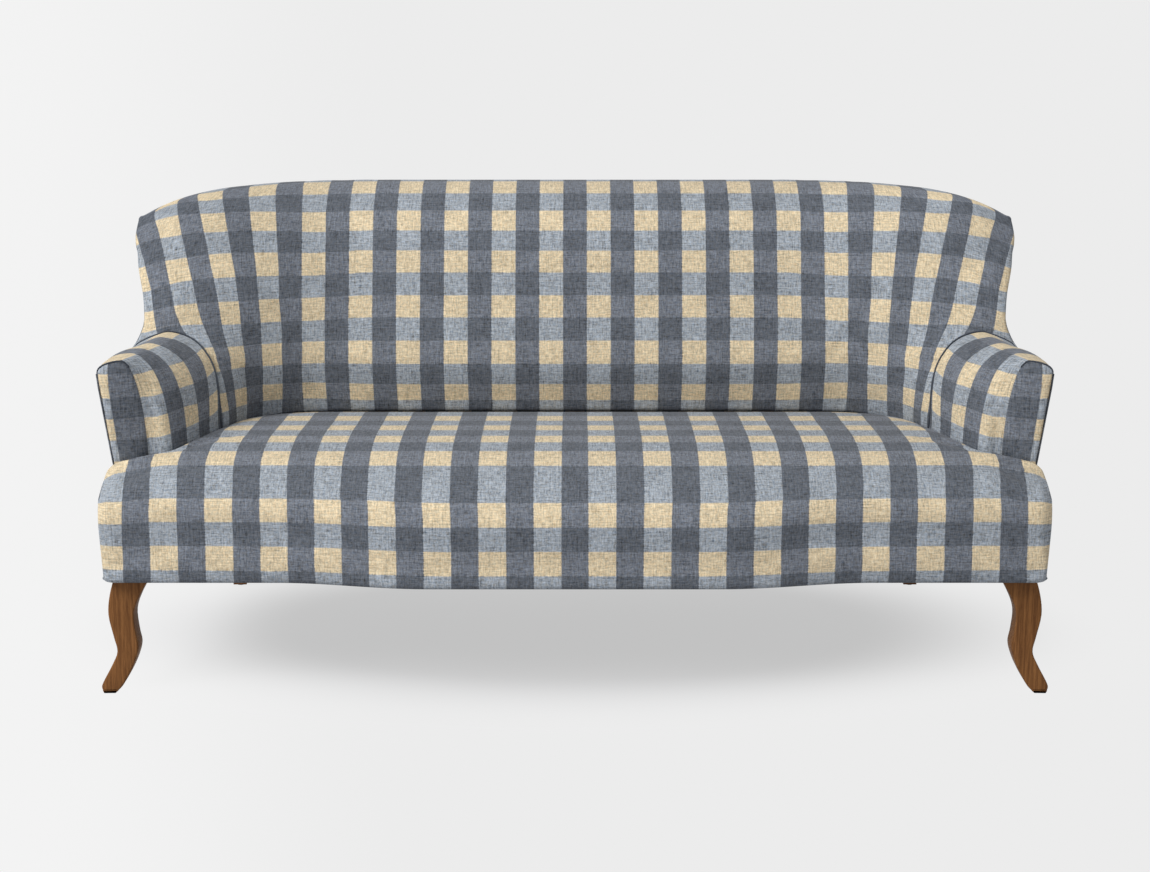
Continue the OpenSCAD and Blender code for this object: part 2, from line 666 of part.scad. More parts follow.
// Back frame
module back_post(side) {
    sided(side) difference() {
        union() {
            leaning(post_x, post_x + post_w, rail_top, crest_z, 0, post_t);
            post_foot_tenon();
            post_top_tenon();
        }
        lower_tenon(fit);
    }
}
module left_back_post() { back_post(-1); }
module right_back_post() { back_post(1); }
module centre_back_upright() {
    color("burlywood") placed() leaning(-22, 22, rail_top, crest_z, 22, post_t);
}
module crest_rail() {
    color("burlywood") placed() difference() {
        leaning(-post_x - post_w, post_x + post_w, crest_z, crest_top, 0, post_t + 6);
        two_sides() post_top_tenon(fit);
    }
}
module lower_back_rail() {
    color("burlywood") placed() {
        leaning(-post_x, post_x, lower_back_z, lower_back_z + 70, 2, 22);
        two_sides() lower_tenon();
    }
}
// Curved rail that follows the ridge from the crest rail to a wing post
function ridge_line(x, out) = let(n = plan_normal(x, crest_h, 1))
    [x + out * n[0], back_y(ridge_depth, x, crest_h, 1) + out * n[1]];
module shoulder_rail(side) {
    steps = 12;
    start = post_x + post_w;
    xs = [for (k = [-1:steps + 1]) lerp(start, side_x - side_t, k / steps)];
    sided(side) translate([0, 0, wing_top - 60]) linear_extrude(60) intersection() {
        polygon(concat([for (x = xs) ridge_line(x, -20)],
            [for (i = [len(xs) - 1:-1:0]) ridge_line(xs[i], 8)]));
        translate([start, 0]) square([side_x - side_t - start, ridge_depth + 100]);
    }
}
module left_shoulder_rail() { shoulder_rail(-1); }
module right_shoulder_rail() { shoulder_rail(1); }
module wing_post(side) {
    sided(side) difference() {
        block(side_x - side_t, side_x, wing_y, wing_y + wing_d, rail_z, wing_top);
        side_tenon(wing_y - 1, wing_y + tenon_l + fit, fit);
    }
}
module left_wing_post() { wing_post(-1); }
module right_wing_post() { wing_post(1); }

// Arm frame
stump_y = ear_depth + facing_t + 3;
stump_d = 60;
stump_top = arm_h - 56;
module arm_stump(side) {
    sided(side) translate([0, stump_y + stump_d, 0]) rotate([90, 0, 0]) linear_extrude(stump_d)
        polygon([[side_x - 29, rail_top], [side_x, rail_top], [side_x, arch_base],
            [side_x + 19, stump_top], [side_x - 16, stump_top], [side_x - 29, arch_base]]);
}
module left_arm_stump() { arm_stump(-1); }
module right_arm_stump() { arm_stump(1); }
module arm_rail(side) {
    sided(side) plate([[side_x - 16, stump_y], [side_x + 19, stump_y],
        [side_x, wing_y], [side_x - side_t, wing_y]], stump_top, stump_top + 20);
}
module left_arm_rail() { arm_rail(-1); }
module right_arm_rail() { arm_rail(1); }
module lower_arm_rail(side) {
    sided(side) block(side_x - 26, side_x - 2, stump_y + stump_d, wing_y, rail_top + 22,
        rail_top + 60);
}
module left_lower_arm_rail() { lower_arm_rail(-1); }
module right_lower_arm_rail() { lower_arm_rail(1); }

// Springs: each runs from rail to rail in square turns
spring_gap = 2 * rear_leg_x / spring_n;
spring_start = 34;
spring_end = back_rail_y + 14;
function spring_path(y0) = [for (k = [0:spring_bends]) let(
        y = lerp(y0, spring_end, k / spring_bends), side = k % 2 == 0 ? -1 : 1)
    each [[side * spring_w / 2, y], [-side * spring_w / 2, y]]];
module wire(path, d) {
    n = len(path);
    sides = 6;
    function along(i) = unit(path[i + 1] - path[i]);
    function mitre(i) = i == 0 || i == n - 1
        ? let(t = along(min(i, n - 2))) [-t[1], t[0]]
        : let(a = along(i - 1), b = along(i), m = unit([-a[1] - b[1], a[0] + b[0]]))
            m / (m * [-a[1], a[0]]);
    rings = [for (i = [0:n - 1]) let(m = mitre(i)) [for (k = [0:sides - 1])
        let(a = 360 * k / sides) [path[i][0] + m[0] * d / 2 * cos(a),
            path[i][1] + m[1] * d / 2 * cos(a), d / 2 * sin(a)]]];
    polyhedron(points = [for (r = rings) each r], faces = concat(
        [for (i = [0:n - 2], k = [0:sides - 1]) [i * sides + k, (i + 1) * sides + k,
            (i + 1) * sides + (k + 1) % sides, i * sides + (k + 1) % sides]],
        [[for (k = [0:sides - 1]) k]],
        [[for (k = [sides - 1:-1:0]) (n - 1) * sides + k]]));
}
module spring_places() {
    for (k = [0:spring_n / 2 - 1]) two_sides()
        translate([(k + 0.5) * spring_gap, 0, spring_z]) children();
}
function spring_front(k) = spring_start + bow_at((k + 0.5) * spring_gap);
module seat_springs() {
    color("dimgray") placed() for (k = [0:spring_n / 2 - 1]) two_sides()
        translate([(k + 0.5) * spring_gap, 0, spring_z]) wire(spring_path(spring_front(k)),
            spring_wire);
}
module spring_clips() {
    hole = spring_wire + 0.8;
    wall = 1.5;
    color("silver") placed() for (k = [0:spring_n / 2 - 1], y = [spring_front(k), spring_end])
        two_sides() translate([(k + 0.5) * spring_gap - 8, y, 0]) rotate([90, 0, 90])
            linear_extrude(16) difference() {
                translate([-hole / 2 - wall, rail_top])
                    square([hole + 2 * wall, spring_z + hole / 2 + wall - rail_top]);
                translate([-hole / 2, spring_z - hole / 2]) square(hole);
            }
}
module cross_wires() {
    color("dimgray") placed() for (t = [0.33, 0.64])
        translate([-side_x + 18, lerp(rail_y, back_rail_y, t), spring_z - spring_wire / 2 - 1.8]) rotate([0, 90, 0])
            cylinder(d = 2.4, h = 2 * side_x - 36, $fn = 24);
}
module seat_hessian() {
    edge = side_x - side_t - 4;
    xs = [for (k = [0:14]) lerp(-edge, edge, k / 14)];
    color("tan") placed() plate(concat([for (x = xs) [x, bow_at(abs(x)) + 26]],
        [[edge, wing_y + 40], [inside_w + 24, back_rail_y - 8], [-inside_w - 24, back_rail_y - 8],
            [-edge, wing_y + 40]]), deck_z - 1.2, deck_z);
}
module back_webbing() {
    low = lower_back_z + 90;
    high = crest_z - 88;
    gap = (post_x - 85) / 2;
    color("tan") placed() {
        for (k = [0:2])
            leaning(-post_x - post_w + 6, post_x + post_w - 6, lerp(low, high, k / 2),
                lerp(low, high, k / 2) + 50, -2, 0);
        for (k = [-2:2])
            leaning(k * gap - 25, k * gap + 25, lower_back_z + 20, crest_z + 30, -4.2, -2.2);
    }
}
module dust_cover() {
    edge = side_x - 6;
    xs = [for (k = [0:14]) lerp(-edge, edge, k / 14)];
    color("dimgray") placed() translate([0, 0, rail_z - 1.3]) linear_extrude(1.2) difference() {
        polygon(concat([for (x = xs) [x, bow_at(abs(x)) + apron_t + 8]],
            [[edge, base_y - base_r], for (a = [75:-15:0]) let(r = corner_r - 6)
                [corner_start + r * sin(a), base_y - base_r + r * cos(a)]],
            [for (a = [0:15:75]) let(r = corner_r - 6)
                [-corner_start - r * sin(a), base_y - base_r + r * cos(a)],
                [-edge, base_y - base_r]]));
        two_sides() for (p = [[front_leg_x, front_leg_y], [rear_leg_x, rear_leg_y]])
            translate([p[0] - plate_w / 2 - 1, p[1] - plate_w / 2 - 1]) square(plate_w + 2);
    }
}

// Legs
module leg_plates() {
    color("dimgray") placed() difference() {
        two_sides() for (p = [[front_leg_x, front_leg_y], [rear_leg_x, rear_leg_y]])
            block(p[0] - plate_w / 2, p[0] + plate_w / 2, p[1] - plate_w / 2,
                p[1] + plate_w / 2, leg_top, rail_z);
        plate_screw_set(fit);
        bolt_set(fit);
    }
}
module plate_screws() { color("silver") placed() plate_screw_set(); }
module leg_bolts() { color("silver") placed() bolt_set(); }

// Smooth curve through points, with a few steps between each pair
function curve_at(p, i, t) = let(n = len(p), a = p[max(0, i - 1)], b = p[i], c = p[i + 1],
        d = p[min(n - 1, i + 2)])
    0.5 * (2 * b + (c - a) * t + (2 * a - 5 * b + 4 * c - d) * t * t
        + (3 * b - a - 3 * c + d) * t * t * t);
function curve_through(p, steps) = concat(
    [for (i = [0:len(p) - 2], k = [0:steps - 1]) curve_at(p, i, k / steps)], [p[len(p) - 1]]);
// Offsets from the middle of the leg, with heights as shares of the leg's length
leg_outer = [[27, 1], [41, 0.824], [47, 0.661], [39, 0.478], [35, 0.347], [43, 0.233],
    [62, 0.098], [67, 0.041], [63, 0]];
leg_inner = [[-41, 1], [-16, 0.833], [-6, 0.673], [-11, 0.502], [-11, 0.388], [-4, 0.273],
    [10, 0.159], [27, 0.053], [41, 0]];
function leg_side(points) = curve_through([for (p = points)
    [front_leg_x + p[0], lerp(glide_h, leg_top, p[1])]], 3);
function turned_round(points) = [for (i = [len(points) - 1:-1:0]) points[i]];
module front_leg(side) {
    color("sienna") placed() handed(side) mirror([1, 0, 0]) difference() {
        translate([0, leg_inset + leg_t, 0]) rotate([90, 0, 0]) linear_extrude(leg_t)
            polygon(concat(leg_side(leg_outer), turned_round(leg_side(leg_inner))));
        bolt_set(fit);
    }
}
module left_front_leg() { front_leg(-1); }
module right_front_leg() { front_leg(1); }
module rear_leg(side) {
    color("sienna") placed() handed(side) mirror([1, 0, 0]) difference() {
        hull() {
            translate([rear_leg_x - rear_leg_w / 2, rear_leg_y - rear_leg_w / 2, leg_top - 0.01])
                cube([rear_leg_w, rear_leg_w, 0.01]);
            translate([rear_leg_x - rear_foot_w / 2, rear_leg_y + rear_kick - rear_foot_w / 2,
                glide_h]) cube([rear_foot_w, rear_foot_w, 0.01]);
        }
        bolt_set(fit);
    }
}
module left_rear_leg() { rear_leg(-1); }
module right_rear_leg() { rear_leg(1); }
module foot_glides() {
    color("black") placed() two_sides() {
        translate([front_leg_x + 52, front_leg_y, 0]) cylinder(d = glide_d, h = glide_h, $fn = 32);
        translate([rear_leg_x, rear_leg_y + rear_kick, 0])
            cylinder(d = glide_d, h = glide_h, $fn = 32);
    }
}

seat_pad();
inside_back_pad();
left_arm_pad();
right_arm_pad();
left_arm_facing();
right_arm_facing();
left_outside_arm();
right_outside_arm();
outside_back();
dust_cover();
front_seat_rail();
back_seat_rail();
left_side_rail();
right_side_rail();
left_corner_rail();
right_corner_rail();
left_seat_stretcher();
right_seat_stretcher();
corner_blocks();
block_screws();
left_back_post();
right_back_post();
centre_back_upright();
crest_rail();
lower_back_rail();
left_shoulder_rail();
right_shoulder_rail();
left_wing_post();
right_wing_post();
left_arm_stump();
right_arm_stump();
left_arm_rail();
right_arm_rail();
left_lower_arm_rail();
right_lower_arm_rail();
seat_springs();
spring_clips();
cross_wires();
seat_hessian();
back_webbing();
left_front_leg();
right_front_leg();
left_rear_leg();
right_rear_leg();
leg_plates();
plate_screws();
leg_bolts();
foot_glides();
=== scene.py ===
import math
import bmesh
import bpy
import numpy as np
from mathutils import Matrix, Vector


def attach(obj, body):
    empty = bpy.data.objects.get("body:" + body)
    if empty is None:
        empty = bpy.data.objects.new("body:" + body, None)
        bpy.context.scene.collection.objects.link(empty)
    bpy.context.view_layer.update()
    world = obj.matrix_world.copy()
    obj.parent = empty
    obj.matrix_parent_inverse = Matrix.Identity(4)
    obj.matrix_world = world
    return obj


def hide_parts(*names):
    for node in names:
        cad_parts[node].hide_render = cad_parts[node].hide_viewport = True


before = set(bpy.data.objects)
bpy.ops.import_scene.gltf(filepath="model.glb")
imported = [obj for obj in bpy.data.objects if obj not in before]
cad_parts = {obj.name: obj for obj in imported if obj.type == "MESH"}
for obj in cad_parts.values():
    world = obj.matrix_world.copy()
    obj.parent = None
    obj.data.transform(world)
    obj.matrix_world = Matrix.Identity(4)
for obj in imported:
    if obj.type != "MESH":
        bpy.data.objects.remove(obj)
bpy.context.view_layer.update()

scene = bpy.context.scene
scene.view_settings.view_transform = "Standard"
print("frame loaded")

# The pieces are worked out in millimetres, with depth counted back from the front of the
# seat's ends, as an upholsterer measures, and moved to the frame when a mesh is made
depthMid = 395.0


def lerp(a, b, t):
    return a + (b - a) * t


def clamp(t):
    return max(0.0, min(1.0, t))


def smooth(t):
    t = clamp(t)
    return t * t * (3 - 2 * t)


def ramp(x, start, over):
    return smooth((x - start) / over)


def unit(v):
    v = np.asarray(v, float)
    return v / max(1e-9, np.linalg.norm(v))


def toFrame(points):
    p = np.asarray(points, float).reshape(-1, 3)
    return (p - np.array([0, depthMid, 0])) / 1000.0


# Materials

def material(name):
    mat = bpy.data.materials.new(name)
    mat.use_nodes = True
    return mat, mat.node_tree, mat.node_tree.nodes["Principled BSDF"]


def feed(tree, socket, value):
    if isinstance(value, bpy.types.NodeSocket):
        tree.links.new(value, socket)
    else:
        socket.default_value = value


# New shader node; an input is called by its name, or by i and its number
def node(tree, kind, settings=None, **inputs):
    n = tree.nodes.new(kind)
    for key, value in (settings or {}).items():
        setattr(n, key, value)
    for key, value in inputs.items():
        numbered = key[0] == "i" and key[1:].isdigit()
        feed(tree, n.inputs[int(key[1:]) if numbered else key], value)
    return n


def calc(tree, operation, *values):
    n = node(tree, "ShaderNodeMath", {"operation": operation})
    for socket, value in zip(n.inputs, values):
        feed(tree, socket, value)
    return n.outputs[0]


def blendColours(tree, amount, first, second, kind="MIX"):
    settings = {"data_type": "RGBA", "blend_type": kind}
    return node(tree, "ShaderNodeMix", settings, i0=amount, i6=first, i7=second).outputs[2]


def noise(tree, place, scale, detail, **more):
    return node(tree, "ShaderNodeTexNoise", Vector=place, Scale=scale, Detail=detail, **more).outputs[0]


# A noise as a swing to both sides of nought
def swing(tree, value, depth):
    return calc(tree, "MULTIPLY", calc(tree, "SUBTRACT", value, 0.5), depth)


def mapped(tree, value, before, after=(0, 1), kind="SMOOTHSTEP"):
    return node(tree, "ShaderNodeMapRange", {"interpolation_type": kind}, i0=value,
                i1=before[0], i2=before[1], i3=after[0], i4=after[1]).outputs[0]


def dress(tree, shader, inputs):
    for name, value in inputs.items():
        feed(tree, shader.inputs[name], value)


def srgb(r, g, b):
    def line(c):
        c = c / 255
        return c / 12.92 if c <= 0.04045 else ((c + 0.055) / 1.055) ** 2.4
    return (line(r), line(g), line(b), 1)


clothLook = {
    "cream": srgb(214, 197, 166),
    "lightBlue": srgb(154, 161, 169),
    "slate": srgb(112, 117, 126),
    "dark": srgb(93, 98, 106),
    # how soft a check's edge is, and how far it steps from thread to thread, in checks
    "edgeSoftness": 0.05,
    "edgeJog": 0.05,
    # thread thickness and length, as repeats a metre, for the fine threads and for the slubs
    "threads": (360, 70),
    "slubs": (240, 16),
    "threadDepth": 1.0,
    "slubDepth": 0.55,
    # repeats a metre, noise detail and depth of the finer grain, the clouding and the change of hue
    "grain": (330, 2, 0.7),
    "cloud": (22, 3, 0.22),
    "hue": (190, 3, 0.35),
    "hueShares": (1.0, 0.1, -1.0),
    "blueVaries": 1.35,
    "rough": (0.82, 0.97),
    "bump": 0.35,
    "bumpReach": 0.0007,
    "grainBump": 0.8,
    "sheen": (0.12, 0.5),
    "specular": 0.18,
}


def checkCloth(name, look):
    mat, tree, shader = material(name)
    place = node(tree, "ShaderNodeUVMap", {"uv_map": "checks"}).outputs[0]
    thread = node(tree, "ShaderNodeUVMap", {"uv_map": "threads"}).outputs[0]
    axes = node(tree, "ShaderNodeSeparateXYZ", Vector=place).outputs

    # thick places that run along a thread, one way and then the other
    def streaks(across, along):
        return [noise(tree, node(tree, "ShaderNodeMapping", Vector=thread, Scale=s).outputs[0], 1, 2)
                for s in ((across, along, 1), (along, across, 1))]

    # every second column or row, with an edge that steps a thread to one side and back
    def stripes(axis, crossing):
        jogged = calc(tree, "ADD", axis, swing(tree, crossing, look["edgeJog"]))
        wave = calc(tree, "COSINE", calc(tree, "MULTIPLY", jogged, math.pi))
        return mapped(tree, wave, (-look["edgeSoftness"], look["edgeSoftness"]))

    warp, weft = streaks(*look["threads"])
    coarseWarp, coarseWeft = streaks(*look["slubs"])
    grain, cloud, hue = [noise(tree, thread, *look[key][:2]) for key in ("grain", "cloud", "hue")]
    darkColumn = stripes(axes[0], weft)
    creamRow = stripes(axes[1], warp)
    lights = blendColours(tree, creamRow, look["lightBlue"], look["cream"])
    darks = blendColours(tree, creamRow, look["dark"], look["slate"])
    colour = blendColours(tree, darkColumn, lights, darks)
    # lighter and darker threads, then the cloud of a woven cloth
    lift = 0.0
    for value, depth in ((warp, look["threadDepth"]), (weft, look["threadDepth"]),
                         (coarseWarp, look["slubDepth"]), (coarseWeft, look["slubDepth"]),
                         (grain, look["grain"][2]), (cloud, look["cloud"][2])):
        lift = calc(tree, "ADD", lift, swing(tree, value, depth))
    # the blue yarns vary more than the cream ones
    pale = calc(tree, "MULTIPLY", calc(tree, "SUBTRACT", 1.0, darkColumn), creamRow)
    varies = calc(tree, "SUBTRACT", look["blueVaries"], calc(tree, "MULTIPLY", pale, look["blueVaries"] - 1))
    value = calc(tree, "ADD", calc(tree, "MULTIPLY", lift, varies), 1.0)
    warm = swing(tree, hue, look["hue"][2])
    tone = node(tree, "ShaderNodeCombineColor")
    for socket, share in zip(tone.inputs, look["hueShares"]):
        feed(tree, socket, calc(tree, "ADD", value, calc(tree, "MULTIPLY", warm, share)))
    height = calc(tree, "ADD", calc(tree, "ADD", warp, weft), calc(tree, "MULTIPLY", grain, look["grainBump"]))
    bump = node(tree, "ShaderNodeBump", Height=height, Strength=look["bump"], Distance=look["bumpReach"])
    dress(tree, shader, {
        "Base Color": blendColours(tree, 1.0, colour, tone.outputs[0], "MULTIPLY"),
        "Roughness": mapped(tree, grain, (0, 1), look["rough"], "LINEAR"), "Normal": bump.outputs[0],
        "Sheen Weight": look["sheen"][0], "Sheen Roughness": look["sheen"][1],
        "Specular IOR Level": look["specular"]})
    return mat


# Two sizes of stretched noise between a dark and a light tone
grainLook = {"shares": (0.7, 0.3), "finer": 7, "spread": (0.34, 0.68), "bumpReach": 0.0006}


def grained(name, dark, light, scale, stretch, rough, bump, metallic=0.0, specular=0.5):
    mat, tree, shader = material(name)
    at = node(tree, "ShaderNodeTexCoord").outputs["Object"]
    placed = node(tree, "ShaderNodeMapping", Vector=at, Scale=stretch).outputs[0]
    sizes = (noise(tree, placed, scale, 5, Roughness=0.6, Distortion=0.6),
             noise(tree, placed, scale * grainLook["finer"], 3))
    both = calc(tree, "ADD", *[calc(tree, "MULTIPLY", n, k) for n, k in zip(sizes, grainLook["shares"])])
    raised = node(tree, "ShaderNodeBump", Height=both, Strength=bump, Distance=grainLook["bumpReach"])
    dress(tree, shader, {
        "Base Color": blendColours(tree, mapped(tree, both, grainLook["spread"]), srgb(*dark), srgb(*light)),
        "Roughness": mapped(tree, sizes[1], (0, 1), rough, "LINEAR"), "Normal": raised.outputs[0],
        "Metallic": metallic, "Specular IOR Level": specular})
    return mat


even = (1, 1, 1)
coarse, sawn, metal = (0.85, 0.98), (0.6, 0.8), (0.3, 0.5)
finishes = {
    "check": checkCloth("check linen", clothLook),
    # painted shade: a cloth much darker than the check, for the thin tubes that paint the shade along the facing's
    # seam, the arm's crease and the wing's edge
    "paintedSeamShade": grained("dark blue welt", (52, 57, 66), (72, 78, 88), 900, even, (0.85, 0.95), 0.3),
    "legWood": grained("stained leg wood", (98, 62, 33), (146, 100, 58), 26, (9, 9, 0.35), (0.5, 0.62), 0.2,
                       specular=0.15),
    "timber": grained("frame timber", (186, 148, 104), (216, 182, 138), 8, (1, 7, 7), sawn, 0.2),
    "timberUp": grained("frame timber upright", (184, 146, 102), (214, 180, 136), 8, (7, 7, 1), sawn, 0.2),
    "steel": grained("spring steel", (70, 72, 76), (104, 106, 110), 60, even, metal, 0.1, 0.9),
    "zinc": grained("zinc plate", (150, 153, 156), (186, 189, 192), 90, even, metal, 0.1, 0.9),
    "hessian": grained("hessian", (150, 122, 84), (186, 158, 116), 420, even, coarse, 0.5),
    "webbing": grained("jute webbing", (138, 112, 76), (178, 150, 108), 500, even, coarse, 0.5),
    "dust": grained("black dust cloth", (24, 24, 25), (40, 40, 42), 700, even, coarse, 0.3),
    "glide": grained("black glide plastic", (18, 18, 19), (30, 30, 31), 200, even, (0.45, 0.6), 0.1),
}
print("materials ready")


# Mesh helpers

sides = {-1: "left", 1: "right"}


def choose(*pieces):
    bpy.ops.object.select_all(action="DESELECT")
    for piece in pieces:
        piece.select_set(True)
    bpy.context.view_layer.objects.active = pieces[0]


def newPiece(name, verts, faces, finish):
    mesh = bpy.data.meshes.new(name)
    mesh.from_pydata([tuple(v) for v in verts], [], faces)
    piece = bpy.data.objects.new(name, mesh)
    scene.collection.objects.link(piece)
    mesh.materials.append(finishes[finish])
    mesh.polygons.foreach_set("use_smooth", [True] * len(mesh.polygons))
    return piece


# The check map counts columns and rows; the thread map is in metres of cloth
def writeMaps(piece, checks, threads, copies=1):
    mesh = piece.data
    index = np.empty(len(mesh.loops), int)
    mesh.loops.foreach_get("vertex_index", index)
    for name, values in (("checks", checks), ("threads", threads)):
        flat = np.tile(np.asarray(values, float).reshape(-1, 2), (copies, 1))
        mesh.uv_layers.new(name=name).data.foreach_set("uv", flat[index].ravel())


def tidyFaces(piece):
    bm = bmesh.new()
    bm.from_mesh(piece.data)
    bmesh.ops.recalc_face_normals(bm, faces=bm.faces)
    bm.to_mesh(piece.data)
    bm.free()


def gridFaces(n, m, base=0, wrap=False):
    faces = []
    for i in range(n - 1):
        for j in range(m if wrap else m - 1):
            here, after = base + i * m, base + (i + 1) * m
            k = (j + 1) % m
            faces.append((here + j, after + j, after + k, here + k))
    return faces


# Rings of points joined into a tube, with a flat face at both ends
def closedFaces(n, m):
    return gridFaces(n, m, wrap=True) + [tuple(range(m)), tuple(range((n - 1) * m, n * m))]


# Closed pad between an outer and an inner grid
def padPiece(name, outer, inner, checks, threads):
    n, m = np.shape(outer)[:2]
    count = n * m
    faces = gridFaces(n, m) + [tuple(reversed(f)) for f in gridFaces(n, m, count)]
    rims = [(i * m + j, (i + 1) * m + j, j > 0) for i in range(n - 1) for j in (0, m - 1)]
    rims += [(i * m + j, i * m + j + 1, i == 0) for j in range(m - 1) for i in (0, n - 1)]
    for a, c, ahead in rims:
        faces.append((a, c, c + count, a + count) if ahead else (c, a, a + count, c + count))
    piece = newPiece(name, np.concatenate([toFrame(outer), toFrame(inner)]), faces, "check")
    writeMaps(piece, checks, threads, 2)
    tidyFaces(piece)
    return piece


# Thin sheet of cloth over a grid
def sheetPiece(name, grid, checks=None, threads=None, finish="check", thick=1.6):
    n, m = np.shape(grid)[:2]
    piece = newPiece(name, toFrame(grid), gridFaces(n, m), finish)
    if checks is not None:
        writeMaps(piece, checks, threads)
    thicken = piece.modifiers.new("thickness", "SOLIDIFY")
    thicken.thickness = thick / 1000
    thicken.offset = 0
    applyModifiers(piece)
    tidyFaces(piece)
    return piece


def applyModifiers(piece):
    choose(piece)
    for m in list(piece.modifiers):
        bpy.ops.object.modifier_apply(modifier=m.name)
    piece.select_set(False)


def subdivide(piece):
    m = piece.modifiers.new("smoothing", "SUBSURF")
    m.levels = m.render_levels = 1
    applyModifiers(piece)


def lengthsAlong(grid, axis):
    step = np.linalg.norm(np.diff(grid, axis=axis), axis=2)
    zero = np.zeros_like(np.take(step, [0], axis=axis))
    return np.concatenate([zero, np.cumsum(step, axis=axis)], axis=axis)


def mirrored(half):
    half = np.asarray(half, float)
    other = half[:0:-1].copy()
    other[..., 0] *= -1
    return np.concatenate([other, half])


# Inside back

backShape = {
    # the section in the middle: ridge depth, crest height, roll over the top, belly below, foot
    "ridge": 785.0, "crest": 943.5, "roll": 207.0, "under": 141.0, "underTurn": 45.0, "footSlope": 16.0,
    "rake": 16.5, "seat": 461.0, "spacing": 14.0,
    # the plan: straight part, curved corner, half width between the arms and at the shoulder
    "flat": 460.0, "corner": 175.0, "cornerAngle": 71.0, "cornerInset": 21.0, "insideHalf": 736.0,
    "shoulder": 926.0,
    # how far the wings come forward, and over which heights the corner turns into them
    "wingForward": 160.0, "wingLess": 36.0, "shoulderForward": 262.0, "sweepFrom": 500.0, "sweepRise": 179.0,
    # the crease with the arm: height of its foot, rise, width, and the two powers that bend it
    "creaseFoot": 447.5, "creaseRise": 220.5, "creaseWidth": 116.0, "creasePower": 4.3, "creaseBend": 0.6,
    # the wing's outline: how much wider it is at foot and head than a straight one, and its rounding
    "wingDraw": 28.0, "wingFoot": 16.0, "wingHead": 8.0, "cornerRound": 6.0,
    # thickness of the pad at the wing, and how the cover turns round its edges
    "wingPad": 22.0, "edgeTurn": 10.0, "rearEdge": 45.0, "wingEdge": 14.0,
    # how far the crest falls toward the wings, from which half width and how steeply
    "fall": 52.0, "fallFrom": 600.0, "fallOver": 321.0, "fallPower": 3.9, "bump": 5.0,
    # distances across the cover at which columns 10.5 to 18.5 change, for heights up the cover
    "columnsUp": [0, 60, 120, 180, 220, 270, 330, 400, 470, 530, 600],
    "columnsAt": [[541, 541, 541, 541, 542, 541, 541, 541, 544, 544, 546],
                  [592, 592, 590, 590, 590, 592, 592, 592, 596, 601, 611],
                  [643, 637, 633, 634, 637, 641, 643, 647, 656, 665, 676],
                  [694, 685, 679, 680, 682, 688, 691, 700, 713, 728, 745],
                  [748, 736, 726, 724, 726, 732, 739, 751, 769, 788, 810],
                  [790, 781, 771, 766, 767, 775, 786, 799, 820, 842, 870],
                  [827, 818, 804, 799, 805, 821, 831, 846, 867, 887, 912],
                  [840, 831, 822, 835, 849, 869, 878, 891, 914, 940, 968],
                  [880, 880, 880, 890, 905, 913, 918, 936, 962, 990, 1018]],
    # distances up the cover at which the rows change, for places by column number
    "rowColumns": [9, 11, 13, 15, 17, 18],
    "rowsAt": [[0, 35.5, 75.5, 123.3, 173, 223, 270.8, 320.8, 371, 419.3, 471.7, 529.5, 601.2],
               [3, 40, 79, 124, 173, 218, 268, 315, 364, 413, 467, 526, 601],
               [10, 46, 85, 126, 175, 221.5, 271, 319, 368, 417, 471, 531, 602],
               [15, 53, 92, 135, 180, 225, 273, 324, 374, 424, 478, 529, 590],
               [18, 55, 95, 138, 189, 234, 279, 329, 382, 440, 510, 575, 640],
               [18, 55, 96, 139, 190, 238, 282, 327, 387, 455, 525, 590, 655]],
}
b = backShape
rake, underTurn, footSlope = [math.radians(b[key]) for key in ("rake", "underTurn", "footSlope")]
turnY = b["ridge"] - b["roll"] * math.cos(rake)
rollZ = b["crest"] - b["roll"] * (1 - math.sin(rake))
lineZ = b["seat"] + b["under"] * (math.sin(underTurn) + math.sin(rake)) - 1
lineY = turnY - (rollZ - lineZ) * math.tan(rake)
underY = lineY + b["under"] * math.cos(rake)
underZ = lineZ - b["under"] * math.sin(rake)
footZ = underZ - b["under"] * math.sin(underTurn)
footTopY = underY - b["under"] * math.cos(footSlope)
footTopZ = underZ - b["under"] * math.sin(footSlope)
underLength = b["under"] * (rake + underTurn)
lineLength = (rollZ - lineZ) / math.cos(rake)
rollLength = b["roll"] * (math.radians(90) - rake)
backLength = underLength + lineLength + rollLength


# Depth, height, slope and progress in the roll at a distance up the cover
def backProfile(s):
    start = b["under"] * (underTurn - footSlope)
    if s < start:
        return (footTopY + (start - s) * math.sin(footSlope), footTopZ - (start - s) * math.cos(footSlope),
                -footSlope, 0.0)
    if s < underLength:
        slope = -underTurn + s / b["under"]
        return underY - b["under"] * math.cos(slope), underZ + b["under"] * math.sin(slope), slope, 0.0
    s -= underLength
    if s < lineLength:
        t = s / lineLength
        return lerp(lineY, turnY, t), lerp(lineZ, rollZ, t), rake, 0.0
    s -= lineLength
    slope = min(math.pi / 2, rake + s / b["roll"])
    return (b["ridge"] - b["roll"] * math.cos(slope), b["crest"] + b["roll"] * (math.sin(slope) - 1),
            slope, min(1.0, s / rollLength))


def backFace(z):
    if z < footTopZ:
        return footTopY + (footTopZ - z) * math.tan(footSlope)
    if z < lineZ:
        return underY - math.sqrt(max(0.0, b["under"] ** 2 - (z - underZ) ** 2))
    return lineY + (z - lineZ) * math.tan(rake)


cornerX = b["insideHalf"] - b["corner"] - b["cornerInset"]
cornerA = math.radians(b["cornerAngle"])


def cornerTurned(x):
    d = max(0.0, x - cornerX)
    r = b["corner"]
    reach = r * math.sin(cornerA)
    if d < reach:
        return r - math.sqrt(r * r - d * d)
    return r * (1 - math.cos(cornerA)) + (d - reach) * math.tan(cornerA)


